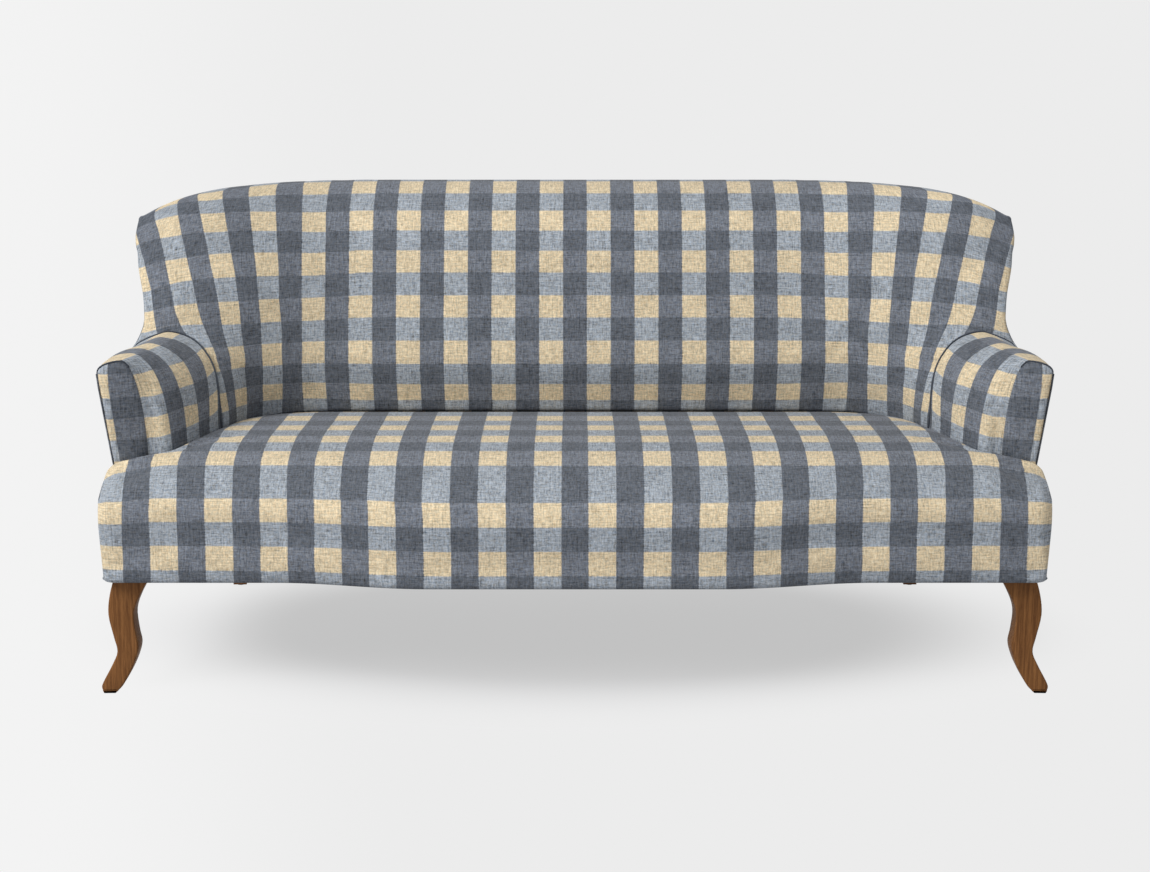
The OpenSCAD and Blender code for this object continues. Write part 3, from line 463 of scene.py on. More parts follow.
# Where the back meets an arm at a height; behind the arm the back runs straight on
def creaseX(z):
    h = clamp((z - b["creaseFoot"]) / b["creaseRise"])
    return b["insideHalf"] + b["creaseWidth"] * (1 - (1 - h ** b["creasePower"]) ** b["creaseBend"])


def swept(x, z, q):
    wing = b["wingForward"] - b["wingLess"] * ramp(z, 700, 150)
    return ramp(x, b["flat"], b["shoulder"] - b["flat"] - 10) * lerp(wing, b["shoulderForward"], q * q)


def drawn(x, z, q, turned):
    t = clamp((z - b["sweepFrom"]) / b["sweepRise"])
    return lerp(min(turned, 300.0), swept(x, z, q), lerp(t, smooth(t), 0.35))


def forward(x, z, q):
    return drawn(x, z, q, cornerTurned(min(x, creaseX(z) - 3)))


def backHalf(z):
    wing = lerp(b["shoulder"] - b["wingDraw"], b["shoulder"], ramp(z, 705, 150))
    wing += b["wingFoot"] * (1 - ramp(z, 655, 50)) + 3 * (1 - ramp(z, 720, 60))
    wing += b["wingHead"] * ramp(z, 850, 60)
    rounded = b["cornerRound"] * clamp((z - 890) / 50) ** 2
    return lerp(creaseX(z) + 10, wing, ramp(z, 580, 66)) - rounded


def ridgeDrop(x):
    fall = b["fall"] * (max(0.0, x - b["fallFrom"]) / b["fallOver"]) ** b["fallPower"]
    return fall - b["bump"] * ramp(x, 480, 190) * (1 - ramp(x, 740, 160))


def backZ(z, x):
    return footZ + (z - footZ) * (1 - ridgeDrop(x) / (b["crest"] - footZ))


def planNormal(x, z, q):
    return unit([forward(x + 1, z, q) - forward(x - 1, z, q), 2, 0])


def postFront(z):
    return 655 + (z - 250.5) * math.tan(math.radians(9.5))


def padDepth(s, c):
    y, z, slope, q = backProfile(s)
    if slope < rake + 0.02:
        middle = (postFront(z) - 4 - y) * 0.97 * math.cos(max(0.0, slope))
    else:
        middle = lerp(146, 52, smooth((slope - rake) / (math.radians(80) - rake)))
    side = lerp(62, b["wingPad"], clamp((c - 1.4) / 0.6))
    return lerp(middle, side, ramp(c, 0.85, 0.5))


# Point on the cover for a distance s up and a place c across: 0 middle, 1 end of the flat
# part, 2 wing edge, and on to 3 as the cover turns round the wing's edge
def backPoint(s, c, deep):
    y0, z0, slope, q = backProfile(s)
    turn = clamp(c - 2)
    side = min(c, 2)
    half = backHalf(z0) - b["edgeTurn"]
    x = side * b["flat"] if side <= 1 else lerp(b["flat"], half, side - 1)
    n = planNormal(x, z0, q)
    t = np.array([n[1], -n[0], 0])
    here = np.array([x, y0 - forward(x, z0, q), backZ(z0, x)])
    away = np.array([math.cos(slope) * n[0], math.cos(slope) * n[1], -math.sin(slope)])
    thick = padDepth(s, side)
    if c > 2:
        r = b["edgeTurn"]
        a = turn * math.pi * 0.75
        here = here + t * r * math.sin(a) + away * r * (1 - math.cos(a))
        thick = max(0.0, thick - r * (1 - math.cos(a)) - 1)
    return here + away * thick * deep


def rearEdge(k, c, deep):
    top = backPoint(backLength, c, 0)
    low = backPoint(backLength, c, 1)
    n = planNormal(min(top[0], b["shoulder"] - b["edgeTurn"]), b["crest"], 1)
    r = lerp(b["rearEdge"], b["wingEdge"], clamp(c - 1)) * (1 - 0.6 * clamp(c - 2))
    a = math.radians(95) * k
    if deep == 0:
        return top + n * r * math.sin(a) - np.array([0, 0, r * (1 - math.cos(a))])
    out = low + n * r * 0.45 * k
    out[2] = min(low[2], top[2] - r * 1.15)
    return out


# Column or row number at a length, from the lengths at which it changes; past these the
# checks go on at their mean size
checkSize = 51.5


def markAt(length, edges, first):
    if length < edges[0]:
        return first + (length - edges[0]) / checkSize
    if length > edges[-1]:
        return first + len(edges) - 1 + (length - edges[-1]) / checkSize
    return float(np.interp(length, edges, first + np.arange(len(edges))))


def backCheck(across, up):
    columns = [np.interp(up, b["columnsUp"], edge) for edge in b["columnsAt"]]
    u = 10.5 * across / columns[0] if across < columns[0] else markAt(across, columns, 10.5)
    rows = [np.interp(u, b["rowColumns"], edge) for edge in zip(*b["rowsAt"])]
    return u, markAt(up, rows, 0.5)


def makeInsideBack():
    rise = list(np.linspace(0, backLength, int(backLength / b["spacing"]) + 1))
    edge = [0.2, 0.4, 0.6, 0.8, 1.0]
    across = list(np.linspace(0, 1, int(b["flat"] / b["spacing"]) + 1))
    across += list(np.linspace(1, 2, int(520 / b["spacing"]) + 1))[1:] + [2.2, 2.4, 2.6, 2.8, 3.0]

    def column(c, deep):
        return [backPoint(s, c, deep) for s in rise] + [rearEdge(k, c, deep) for k in edge]
    half, deepHalf = [np.array([column(c, deep) for c in across]) for deep in (0, 1)]
    # checks follow the cover: columns by the distance across, rows by the distance up
    acrossLength = lengthsAlong(half, 0)
    up = np.array(rise + [backLength + 75 * k for k in edge])
    checks = np.array([[backCheck(a, s) for a, s in zip(row, up)] for row in acrossLength])
    threads = np.stack([acrossLength / 1000, np.tile(up / 1000, (len(across), 1))], axis=2)
    return padPiece("inside-back", *map(mirrored, (half, deepHalf, checks, threads))), half


insideBack, backHalfGrid = makeInsideBack()
print("inside back made")

# Seat

seatShape = {
    "width": 1863.0, "hem": 241.0, "hemTurn": 12.0, "spacing": 14.0,
    # the bow of the front, and the half widths between which it goes back to straight
    "bow": 40.0, "bowFlat": 290.0, "bowEnd": 580.0,
    # the crown's height and depth, the arc from it to the front, and the nose
    "crown": 477.0, "crownDepth": 250.0, "frontArc": 530.0, "frontRoll": 60.0,
    # the ends: roll over the top, corner in plan, settling, taper below, depth in front of the arm
    "endRoll": 30.0, "endCorner": 25.0, "endSettles": 7.0, "sideTaper": 8.0, "earDepth": 145.0, "earInset": 14.0,
    "facingWidth": 65.0, "deck": 363.5, "tuck": 3.0, "tuckOver": 8.0,
    # half widths at which the numbered columns change: on the front, then at depths over the top
    "columnNumbers": [0, 0.5, 5.5, 9.5, 12.5, 14.5, 15.5, 16.5, 17.6],
    "frontColumns": [0, 26, 292, 504.5, 664, 772, 826, 881, 936],
    "columnDepths": [30, 100, 165, 255, 357, 470],
    "topColumns": [[0, 26, 297, 509, 667, 776, 830, 883, 938], [0, 26, 299, 513, 673, 784, 840, 890, 945],
                   [0, 26, 299, 512, 674, 782, 828, 880, 935], [0, 26, 297, 510, 670, 778, 832, 884, 938],
                   [0, 26, 296, 505, 665, 772, 826, 878, 930], [0, 26, 295, 505, 665, 772, 826, 878, 930]],
    # heights up the front and depths over the top at which one row changes to the next
    "frontRows": [246, 270, 319, 368, 411], "frontNumbers": [-2.99, -2.5, -1.5, -0.5, 0.5],
    "topRows": [91, 146, 190, 231, 278, 322, 371, 427, 495, 558],
}
st = seatShape
halfWidth = st["width"] / 2
earX = halfWidth - st["earInset"]
frontX = earX - st["facingWidth"]
backAtSeat = backFace(462)
rearArc = (backAtSeat - st["crownDepth"]) ** 2 / 32
armFoot = b["insideHalf"]


def bowAt(x):
    return -st["bow"] * (1 - smooth((x - st["bowFlat"]) / (st["bowEnd"] - st["bowFlat"])))


def crown(y):
    if y < st["crownDepth"]:
        return st["crown"] - st["frontArc"] + math.sqrt(st["frontArc"] ** 2 - (st["crownDepth"] - y) ** 2)
    return st["crown"] - rearArc + math.sqrt(rearArc ** 2 - (y - st["crownDepth"]) ** 2)


def backLine(x):
    turned = forward(x, b["seat"], 0)
    return backFace(crown(backAtSeat - turned)) - turned


backLineAtArm = backLine(armFoot)


# The arms' fronts are turned a little outward in plan
def facingSkew(x):
    return (0.345 * max(-45.0, min(35.0, 876 - x)) + 7) * ramp(x, 800, 40)


def seatRear(x):
    if x < armFoot:
        return backLine(x) - 3 * ramp(x, 540, 60) + 1
    along = clamp((frontX - x) / (frontX - armFoot)) ** 2.1
    return lerp(st["earDepth"], backLineAtArm, along) - 8 + facingSkew(x)


def sideDrop(x):
    return quarterRound(x, st["endRoll"]) + st["endSettles"] * ramp(x, 832, 56)


def quarterRound(x, r):
    a = clamp((x - halfWidth + r) / r)
    return r * (1 - math.sqrt(1 - a * a))


def seatSection(x):
    yf = bowAt(x) + quarterRound(x, st["endCorner"])
    drop = sideDrop(x)
    roll = st["frontRoll"]
    k = roll / st["frontArc"]
    yc = (yf + roll - st["crownDepth"] * k) / (1 - k)
    a0 = math.asin((st["crownDepth"] - yc) / st["frontArc"])
    z0 = crown(yc) - roll * math.cos(a0)
    rear = seatRear(x)
    h = st["hemTurn"]
    points = []
    # the cover turns under the rail at the hem
    for a in (90, 60, 30):
        r = math.radians(a)
        points.append([x, yf + h * (1 - math.cos(r)), st["hem"] + h * (1 - math.sin(r))])
    points += [[x, yf, z] for z in np.linspace(st["hem"] + h, z0 - drop, 10)]
    for a in np.linspace(90, math.degrees(a0), 9)[1:]:
        r = math.radians(a)
        points.append([x, yf + roll * (1 - math.sin(r)), z0 + roll * math.cos(r) - drop])
    for t in np.linspace(0, 1, 37)[1:]:
        y = lerp(yc, rear, t)
        d = rear - y
        tuck = st["tuck"] * (1 - d / st["tuckOver"]) ** 2 if d < st["tuckOver"] else 0
        points.append([x, y, crown(y) - drop - tuck])
    points = np.array(points)
    points[:, 0] -= st["sideTaper"] * np.clip((430 - points[:, 2]) / 180, 0, 1) * ramp(x, 860, 60)
    return points


def seatUnder(x, section):
    n = len(section) - 1
    yf = section[3][1] + 14
    rear, deck = section[-1][1], st["deck"]
    inside = []
    for i in range(n + 1):
        if x > earX:
            inside.append([x - 2, lerp(section[0][1] + 2, rear, i / n), st["hem"] + 2])
        elif i < 12:
            inside.append([x, yf, lerp(st["hem"] + 2, deck, i / 12)])
        else:
            inside.append([x, lerp(yf, rear, (i - 12) / (n - 12)), deck])
    return np.array(inside)


def seatColumn(x, y, front):
    top = [np.interp(y, st["columnDepths"], edge) for edge in zip(*st["topColumns"])]
    k = ramp(y, front, 40)
    return float(np.interp(x, [lerp(a, c, k) for a, c in zip(st["frontColumns"], top)], st["columnNumbers"]))


def frontRow(z, drop):
    rows, numbers = st["frontRows"], st["frontNumbers"]
    above, after = rows[-1] + 63, numbers[-1] + 1
    return np.interp(z + drop * ramp(z, 300, 110), rows + [above], numbers + [after])


def seatChecks(section):
    frontRows, topRows = st["frontRows"], st["topRows"]
    length = lengthsAlong(section[None], 1)[0]
    drop = sideDrop(section[0][0])
    turnStart = np.interp(frontRows[-1] - drop, section[3:20, 2], length[3:20])
    firstTop = np.interp(topRows[0], section[16:, 1], length[16:])
    out = []
    for p, l in zip(section, length):
        if l <= turnStart:
            v = frontRow(p[2], drop)
        elif l < firstTop:
            v = 0.5 + (l - turnStart) / (firstTop - turnStart)
        else:
            v = 1.5 + np.interp(p[1], topRows, np.arange(len(topRows)))
        out.append([seatColumn(p[0], p[1], section[3][1]), v])
    return np.array(out), length


def makeSeat():
    xs = list(np.arange(0, 700, st["spacing"])) + list(np.arange(704, 884, 12))
    xs += [halfWidth - 45 + 45 * math.sin(math.radians(a)) for a in (8, 20, 32, 44, 56, 66, 75, 82, 87)]
    xs.append(halfWidth)
    sections, unders, checks, threads = [], [], [], []
    for x in xs:
        section = seatSection(x)
        c, length = seatChecks(section)
        sections.append(section)
        unders.append(seatUnder(x, section))
        checks.append(c)
        threads.append(np.stack([np.full(len(length), x / 1000), length / 1000], axis=1))
    piece = padPiece("seat-pad", *map(mirrored, (sections, unders, checks, threads)))
    checkEarSides(piece, sections[-1][3][1])
    return piece, np.array(sections)


def checkEarSides(piece, front):
    mesh = piece.data
    checks = mesh.uv_layers["checks"].data
    drop = sideDrop(halfWidth)
    for face in mesh.polygons:
        if min(abs(mesh.vertices[v].co.x) for v in face.vertices) < (halfWidth - 3) / 1000:
            continue
        for loop in face.loop_indices:
            place = mesh.vertices[mesh.loops[loop].vertex_index].co * 1000
            column = st["columnNumbers"][-1] + (place.y + depthMid - front) / 58
            checks[loop].uv = (math.copysign(column, place.x), frontRow(place.z, drop))


seatPad, seatHalfGrid = makeSeat()
print("seat made")

# Arms

armShape = {
    "height": 656.0, "rise": 12.0, "pad": 26.0,
    "low": 375.5, "base": 447.5, "across": 34, "around": 30, "below": 4, "over": 10,
    # where the arm's top begins and ends in depth, and its half widths at the outer edge
    "frontDepth": 145.0, "peakX": [896.0, 852.0], "edgeX": [944.0, 914.0], "edgeZ": [635.0, 644.0],
    "edgeDip": 5.0, "facingDepth": [163, 149, 144.5, 142, 140, 139, 138.5, 138.2, 138.1],
    "facingSize": [1.0, 1.0, 0.985, 0.95, 0.8, 0.6, 0.4, 0.2, 0.02],
    # where the dark column of the front panel ends toward the outside, from the seat up
    "facingLine": [903, 907, 911, 915, 919, 918], "facingLineAt": [440, 470, 520, 560, 610, 672],
    "facingRows": [404, 455, 497, 541, 583, 632, 675],
    # how far along the arm the column edges lie, near the seat, half way up and on top
    "columnsLow": [0, 0.27, 0.43, 0.57, 0.71, 0.88], "columnsMid": [0, 0.27, 0.455, 0.62, 0.83, 1.0],
    "columnsTop": [0, 0.24, 0.40, 0.57, 0.79, 1.0],
    # distances from the top at which rows change, for places along the arm
    "rowsAlong": [0, 0.28, 0.45, 0.6, 0.8, 1.0],
    "rowsAt": [[104, 52, 0, -38, -86, -128, -170, -212, -254, -296],
               [92, 40, -12, -59, -111, -152, -193, -235, -277, -319],
               [82, 31, -21, -74, -125, -163, -205, -247, -289, -331],
               [78, 27, -27, -84, -135, -176, -212, -254, -296, -338],
               [78, 27, -29, -89, -144, -181, -221, -263, -305, -347],
               [78, 27, -29, -89, -145, -184, -223, -265, -307, -349]],
}
ar = armShape


def armPath(s):
    x = lerp(armFoot, frontX, (1 - s) ** 1.6)
    return np.array([x, seatRear(x) - facingSkew(x) + 8])


def armPeak(s):
    return np.array([lerp(*ar["peakX"], s), lerp(ar["frontDepth"], 403, s), ar["height"] + ar["rise"] * s])


def armEdge(s):
    dip = ar["edgeDip"] * math.sin(math.pi * clamp((s - 0.35) / 0.65))
    return np.array([lerp(*ar["edgeX"], smooth(s)), lerp(ar["frontDepth"], 400, s), lerp(*ar["edgeZ"], s) - dip])


# One arch of the arm: up from the seat, over the top and down to the outer seam
def armArch(s, t):
    foot, peak, edge = armPath(s), armPeak(s), armEdge(s)
    thin = 4 if t > 0 else 0
    points = [[foot[0] + t, foot[1], z] for z in np.linspace(ar["low"] + 20, ar["base"], ar["below"] + 1)[:-1]]
    for k in range(ar["around"] + 1):
        a = math.radians(90 * k / ar["around"])
        late = 1 - max(0.0, 1 - math.sin(a) ** b["creasePower"]) ** b["creaseBend"]
        bent = lerp(1 - math.cos(a), late, smooth(s))
        points.append([foot[0] + t + (peak[0] - foot[0] - t) * bent,
                       lerp(foot[1], peak[1], bent),
                       ar["base"] + (peak[2] - t - ar["base"]) * math.sin(a)])
    for k in range(1, ar["over"] + 1):
        a = math.radians(100 * k / ar["over"])
        over = min(a, math.pi / 2)
        # the arm's shoulder is fullest just behind the front panel and falls straighter farther back
        full = 1 - 0.3 * smooth(s / 0.1) * (1 - ramp(s, 0.3, 0.25))
        fall = lerp(max(0.0, math.cos(over)) ** full, 1 - math.sin(over), 0.6 * ramp(s, 0.4, 0.25))
        fall += min(0.0, math.cos(a))
        points.append([peak[0] + (edge[0] - 4 - thin - peak[0]) * math.sin(a),
                       lerp(peak[1], edge[1], 1 - math.cos(over)),
                       edge[2] + (peak[2] - t - edge[2]) * fall - thin])
    return np.array(points)


def armGrid(t):
    shift = np.array([backFace(p[2]) - p[1] - 1
                      - drawn(p[0], p[2], 0, cornerTurned(min(p[0], creaseX(p[2]) + 3)))
                      for p in armArch(1, t)])
    rows = []
    for k in range(ar["across"] + 1):
        s = k / ar["across"]
        row = armArch(s, t)
        row[:, 1] += shift * ramp(s, 0.5, 0.5)
        row[:, 1] += np.array([facingSkew(x) for x in row[:, 0]]) * (1 - smooth(s / 0.3))
        # both ends tuck in: at the facing's seam and in the crease of the back
        if t == 0:
            d = s * 290
            inward = 3.0 * (1 - d / 9) ** 2 if d < 9 else 0
            row[:, 2] -= inward
            row[:, 0] += inward * 0.6
        rows.append(row)
    return np.array(rows)


def makeArm(side):
    outer, inner = armGrid(0), armGrid(ar["pad"])
    along, around = lengthsAlong(outer, 0), lengthsAlong(outer, 1)
    top = ar["below"] + ar["around"]
    checks = np.zeros(outer.shape[:2] + (2,))
    marks = 0.5 + np.arange(6)
    for i in range(outer.shape[0]):
        s = i / ar["across"]
        edges = [np.interp(s, ar["rowsAlong"], [r[k] for r in ar["rowsAt"]]) for k in range(10)]
        for j in range(outer.shape[1]):
            level = np.interp(90 * clamp((j - ar["below"]) / ar["around"]), [10, 55, 90], [0, 1, 2])
            edge = [np.interp(level, [0, 1, 2], v) for v in zip(ar["columnsLow"], ar["columnsMid"], ar["columnsTop"])]
            checks[i, j] = (np.interp(s, edge, marks) + max(0, s - edge[-1]) * 6,
                            np.interp(around[i, j] - around[i, top], edges[::-1], 9.5 - np.arange(10)))
    threads = np.stack([along / 1000, around / 1000], axis=2)
    for grid in (outer, inner):
        grid[..., 0] *= side
    return padPiece(sides[side] + "-arm-pad", outer, inner, checks, threads)


arms = {side: makeArm(side) for side in sides}
print("arms made")


# Facing: the padded panel on the front of an arm
def makeFacing(side):
    arc = armArch(0, 0)[:, [0, 2]]
    arc = arc[arc[:, 1] > 400]
    outer = [[lerp(earX - 1, arc[-1][0], t), z] for t, z in
             zip(np.linspace(1, 0, 12), np.linspace(arc[-1][1] - 6, ar["base"], 12))]
    outline = np.array(list(arc) + outer + [[earX - 1, 405]])
    middle = np.array([(frontX + earX) / 2 + 22, 545.0])
    rings = []
    for size, y in zip(ar["facingSize"], ar["facingDepth"]):
        ring = middle + (outline - middle) * size
        rings.append([[x, y + facingSkew(x), z] for x, z in ring])
    rings = np.array(rings)
    x, z = rings[..., 0], rings[..., 2]
    # the dark column lies between the seam and a line that runs straight up the panel
    seam = np.interp(z, arc[:30, 1], arc[:30, 0])
    line = np.interp(z, ar["facingLineAt"], ar["facingLine"])
    row = np.interp(z, ar["facingRows"], np.arange(len(ar["facingRows"])) + 3.5)
    checks = np.stack([(line - x) / np.maximum(30.0, line - seam) - 0.5, row], axis=2)
    threads = np.stack([x / 1000, z / 1000], axis=2)
    rings[..., 0] *= side
    piece = newPiece(sides[side] + "-arm-facing", toFrame(rings), closedFaces(*rings.shape[:2]), "check")
    writeMaps(piece, checks, threads)
    tidyFaces(piece)
    return piece


facings = {side: makeFacing(side) for side in sides}
print("facings made")

# Outside panels

panelShape = {
    "baseY": 722.0, "baseR": 190.0, "railTop": 353.5, "thick": 2.0,
    # size of a column and of a row, and the height at which row -2.99 begins
    "column": 51.7, "row": 50.5, "rowFrom": 246.0, "armFrom": 530.0,
}
pn = panelShape


def basePlan(a):
    return np.array([earX - 1 - pn["baseR"] * (1 - math.sin(a)), pn["baseY"] - pn["baseR"] * (1 - math.cos(a))])


def topPlan(x):
    n = planNormal(x, b["crest"], 1)
    r = lerp(b["rearEdge"], b["wingEdge"], clamp((x - b["flat"]) / (b["shoulder"] - b["flat"]))) - 2
    return np.array([x + r * n[0], b["ridge"] - forward(x, b["crest"], 1) + r * n[1]])


topTurn, topEnd = b["flat"] * 1.2, b["shoulder"] - 12


def outsideBackPoint(u, h):
    straight = np.array([u * (earX - 1 - pn["baseR"]), pn["baseY"]])
    low = straight if u < 1 else basePlan(math.radians(min(90, 90 * (u - 1))))
    high = topPlan(u * topTurn if u < 1 else lerp(topTurn, topEnd, u - 1))
    top = backZ(b["crest"], high[0]) - lerp(b["rearEdge"], b["wingEdge"], clamp(u - 1)) - 13
    k = clamp((h - 0.2) / 0.8)
    z = lerp(st["hem"], pn["railTop"], h / 0.2) if h < 0.2 else lerp(pn["railTop"], top, k)
    return np.array([lerp(low[0], high[0], k), lerp(low[1], high[1], k), z])


def panelChecks(across, z):
    return np.stack([across / pn["column"], (z - pn["rowFrom"]) / pn["row"] - 2.99], axis=2)


def makeOutsideBack():
    us = list(np.linspace(0, 1, 46)) + list(np.linspace(1, 2, 30))[1:]
    hs = np.linspace(0, 1, 45)
    half = np.array([[outsideBackPoint(u, h) for h in hs] for u in us])
    across, z = lengthsAlong(half, 0), half[..., 2]
    level = len(hs) // 3
    checks = panelChecks(np.tile(across[:, [level]], (1, len(hs))), z)
    threads = np.stack([across / 1000, lengthsAlong(half, 1) / 1000], axis=2)
    whole = mirrored(half)
    return sheetPiece("outside-back", whole, mirrored(checks), mirrored(threads), thick=pn["thick"]), whole


outsideBack, outsideBackGrid = makeOutsideBack()


def wingEdge(t):
    return backPoint(lerp(underLength + 66, backLength, t), 3, 1)


def outlineFront(t):
    if t < 0.35:
        return np.array([earX + 2, st["earDepth"] + 2 + facingSkew(earX), lerp(st["hem"], ar["base"], t / 0.35)])
    if t < 0.5:
        k = (t - 0.35) / 0.15
        x = lerp(earX + 2, ar["edgeX"][0] - 1, k)
        return np.array([x, st["earDepth"] + 2 + facingSkew(x), lerp(ar["base"], ar["height"] - 33, k)])
    if t < 0.75:
        k = (t - 0.5) / 0.25
        e = armEdge(k)
        inward, skew = smooth(k / 0.5), facingSkew(e[0]) * (1 - smooth(k / 0.3))
        return np.array([e[0] - 1 - 4 * inward, e[1] + 2 + skew, e[2] - 4 - 6 * inward])
    k = (t - 0.75) / 0.25
    return wingEdge(k) + np.array([1.5 - 5 * (1 - smooth(k / 0.3)), 2, -1])


def outsideArmPoint(t, s):
    h = lerp(0, 0.42, t / 0.35) if t < 0.35 else lerp(0.42, 1, (t - 0.35) / 0.65)
    return lerp(outlineFront(t), outsideBackPoint(2, h) - np.array([0, 0.8, 0]), s)


def makeOutsideArm(side):
    grid = np.array([[outsideArmPoint(t, s) for t in np.linspace(0, 1, 61)] for s in np.linspace(0, 1, 31)])
    checks = panelChecks(grid[..., 1] - pn["armFrom"], grid[..., 2])
    threads = grid[..., 1:] / 1000
    grid[..., 0] *= side
    return sheetPiece(sides[side] + "-outside-arm", grid, checks, threads, thick=pn["thick"]), grid


outsideArms = {side: makeOutsideArm(side) for side in sides}
print("outside panels made")


# Hidden soft pieces

hiddenCloth = {
    "dustZ": 249.6, "dustSag": 1.5, "dustInset": 21.0, "dustAtLegs": 62.0,
    "hessianZ": 362.9, "hessianInset": 27.0, "hessianRear": [[760, 866], [662, 542]],
    # heights of the level straps and half widths of the upright ones
    "webHeights": (585, 665, 745), "webPlaces": (-320, -160, 0, 160, 320), "webWidth": 50.0, "webHalf": 444.0,
    "webFrom": 490.0, "webTo": 838.0,
}
hc = hiddenCloth


def flatSheet(name, outlineAt, xs, rows, z, finish, sag=0.0):
    grid = []
    for x in xs:
        droop = sag * (1 - (x / 900) ** 2)
        grid.append([[x, y, z - droop * math.sin(math.pi * i / (rows - 1))]
                     for i, y in enumerate(np.linspace(*outlineAt(abs(x)), rows))])
    return sheetPiece(name, grid, finish=finish, thick=1.0), np.array(grid)


def dustOutline(x):
    front = bowAt(x) + hc["dustInset"] + (hc["dustAtLegs"] if x > 845 else 0)
    turn = 176.0
    rear = pn["baseY"] - pn["baseR"] + (math.sqrt(max(0.0, turn ** 2 - (x - 724) ** 2)) if x > 724 else turn)
    return front, rear - 2


def hessianOutline(x):
    return bowAt(x) + hc["hessianInset"], np.interp(x, *hc["hessianRear"])


dustCover, dustGrid = flatSheet("dust-cover", dustOutline, np.linspace(-898, 898, 91), 31,
                                hc["dustZ"], "dust", hc["dustSag"])
hessian, hessianGrid = flatSheet("seat-hessian", hessianOutline, np.linspace(-866, 866, 60), 24,
                                 hc["hessianZ"], "hessian")


def strap(name, start, end):
    start, end = np.array(start, float), np.array(end, float)
    sideways = unit(np.cross(end - start, [0, 1, 0])) * hc["webWidth"] / 2
    grid = [[lerp(start, end, t) + sideways * k for k in (-1, -0.5, 0, 0.5, 1)] for t in np.linspace(0, 1, 24)]
    return sheetPiece(name, grid, finish="webbing", thick=2.0)


def webbingStraps():
    straps = []
    for z in hc["webHeights"]:
        y = postFront(z) - 1
        straps.append(strap("web-%d" % z, (-hc["webHalf"], y, z), (hc["webHalf"], y, z)))
    for x in hc["webPlaces"]:
        ends = [(x, postFront(z) - 3.2, z) for z in (hc["webFrom"], hc["webTo"])]
        straps.append(strap("web-up-%d" % (x + 400), *ends))
    choose(*straps)
    bpy.ops.object.join()
    straps[0].name = "back-webbing-straps"
    straps[0].select_set(False)
    return straps[0]


webbing = webbingStraps()
print("hidden cloth made")

# Legs

legShape = {
    "top": 248.0, "front": 38.0, "thick": 45.0, "bevel": 0.004,
    "outer": [[906, 248], [918.5, 205], [923, 165], [915, 120], [909.5, 88], [921, 60], [939, 27], [944.3, 13],
              [940.3, 3]],
    "inner": [[833.5, 248], [858, 207], [872.5, 168], [870.5, 126], [866.5, 98], [874, 70], [887, 42], [902.5, 16],
              [915.5, 3]],
}


def curveAt(p, i, t):
    a, q, c, d = p[max(0, i - 1)], p[i], p[i + 1], p[min(len(p) - 1, i + 2)]
    return 0.5 * (2 * q + (c - a) * t + (2 * a - 5 * q + 4 * c - d) * t * t + (3 * q - a - 3 * c + d) * t ** 3)


def curveThrough(points, steps):
    p = np.array(points, float)
    return np.array([curveAt(p, i, k / steps) for i in range(len(p) - 1) for k in range(steps)] + [p[-1]])


def makeFrontLeg(side):
    outer, inner = [curveThrough(legShape[key], 4) for key in ("outer", "inner")]
    thick = legShape["thick"]
    bpy.ops.object.select_all(action="DESELECT")
    bpy.ops.mesh.primitive_cube_add(size=1, location=(0, 0, 0))
    leg = bpy.context.active_object
    leg.name = sides[side] + "-front-leg"
    bpy.ops.object.mode_set(mode="EDIT")
    bpy.ops.mesh.select_all(action="SELECT")
    bpy.ops.transform.resize(value=((outer[0][0] - inner[0][0]) / 1000, thick / 1000, 0.0001))
    middle = ((outer[0][0] + inner[0][0]) / 2000, (legShape["front"] - depthMid + thick / 2) / 1000,
              legShape["top"] / 1000)
    bpy.ops.transform.translate(value=middle)
    bm = bmesh.from_edit_mesh(leg.data)
    for f in bm.faces:
        f.select_set(f.normal.z < -0.9)
    bmesh.update_edit_mesh(leg.data)
    # the foot is drawn out of the block, one slice at a time
    for k in range(1, len(outer)):
        bpy.ops.mesh.extrude_region_move()
        bm = bmesh.from_edit_mesh(leg.data)
        ends = {v for f in bm.faces if f.select for v in f.verts}
        centre = sum(v.co.x for v in ends) / len(ends)
        for v in ends:
            p = outer[k] if v.co.x > centre else inner[k]
            v.co.x, v.co.z = p[0] / 1000, p[1] / 1000
        bmesh.update_edit_mesh(leg.data)
    bm = bmesh.from_edit_mesh(leg.data)
    corners = [e for e in bm.edges if e.calc_face_angle(0) > 1.0]
    bpy.ops.mesh.select_all(action="DESELECT")
    for e in corners:
        e.select_set(True)
    bmesh.update_edit_mesh(leg.data)
    bpy.ops.mesh.bevel(offset=legShape["bevel"], segments=3, profile=0.5)
    bpy.ops.mesh.select_all(action="SELECT")
    bpy.ops.mesh.normals_make_consistent(inside=False)
    bpy.ops.object.mode_set(mode="OBJECT")
    if side < 0:
        for v in leg.data.vertices:
            v.co.x *= -1
        tidyFaces(leg)
    choose(leg)
    bpy.ops.object.shade_smooth_by_angle(angle=math.radians(40))
    leg.select_set(False)
    leg.data.materials.clear()
    leg.data.materials.append(finishes["legWood"])
    return leg


frontLegs = {side: makeFrontLeg(side) for side in sides}
print("front legs made")

# Stuffing: the covers swell a little between the places where they are held

stuffing = {
    "frames": 20,
    # how far from a held edge the cover is free, in grid steps, and how far it may swell, in mm
    "free": {"seat": 5, "back": 6, "arm": 6}, "cap": {"seat": 6.0, "back": 6.0, "arm": 3.0},
    "cloth": {"quality": 5, "mass": 0.35, "tension_stiffness": 40, "compression_stiffness": 40,
              "shear_stiffness": 20, "bending_stiffness": 2, "use_pressure": True,
              "uniform_pressure_force": 4.0, "vertex_group_mass": "held"},
}


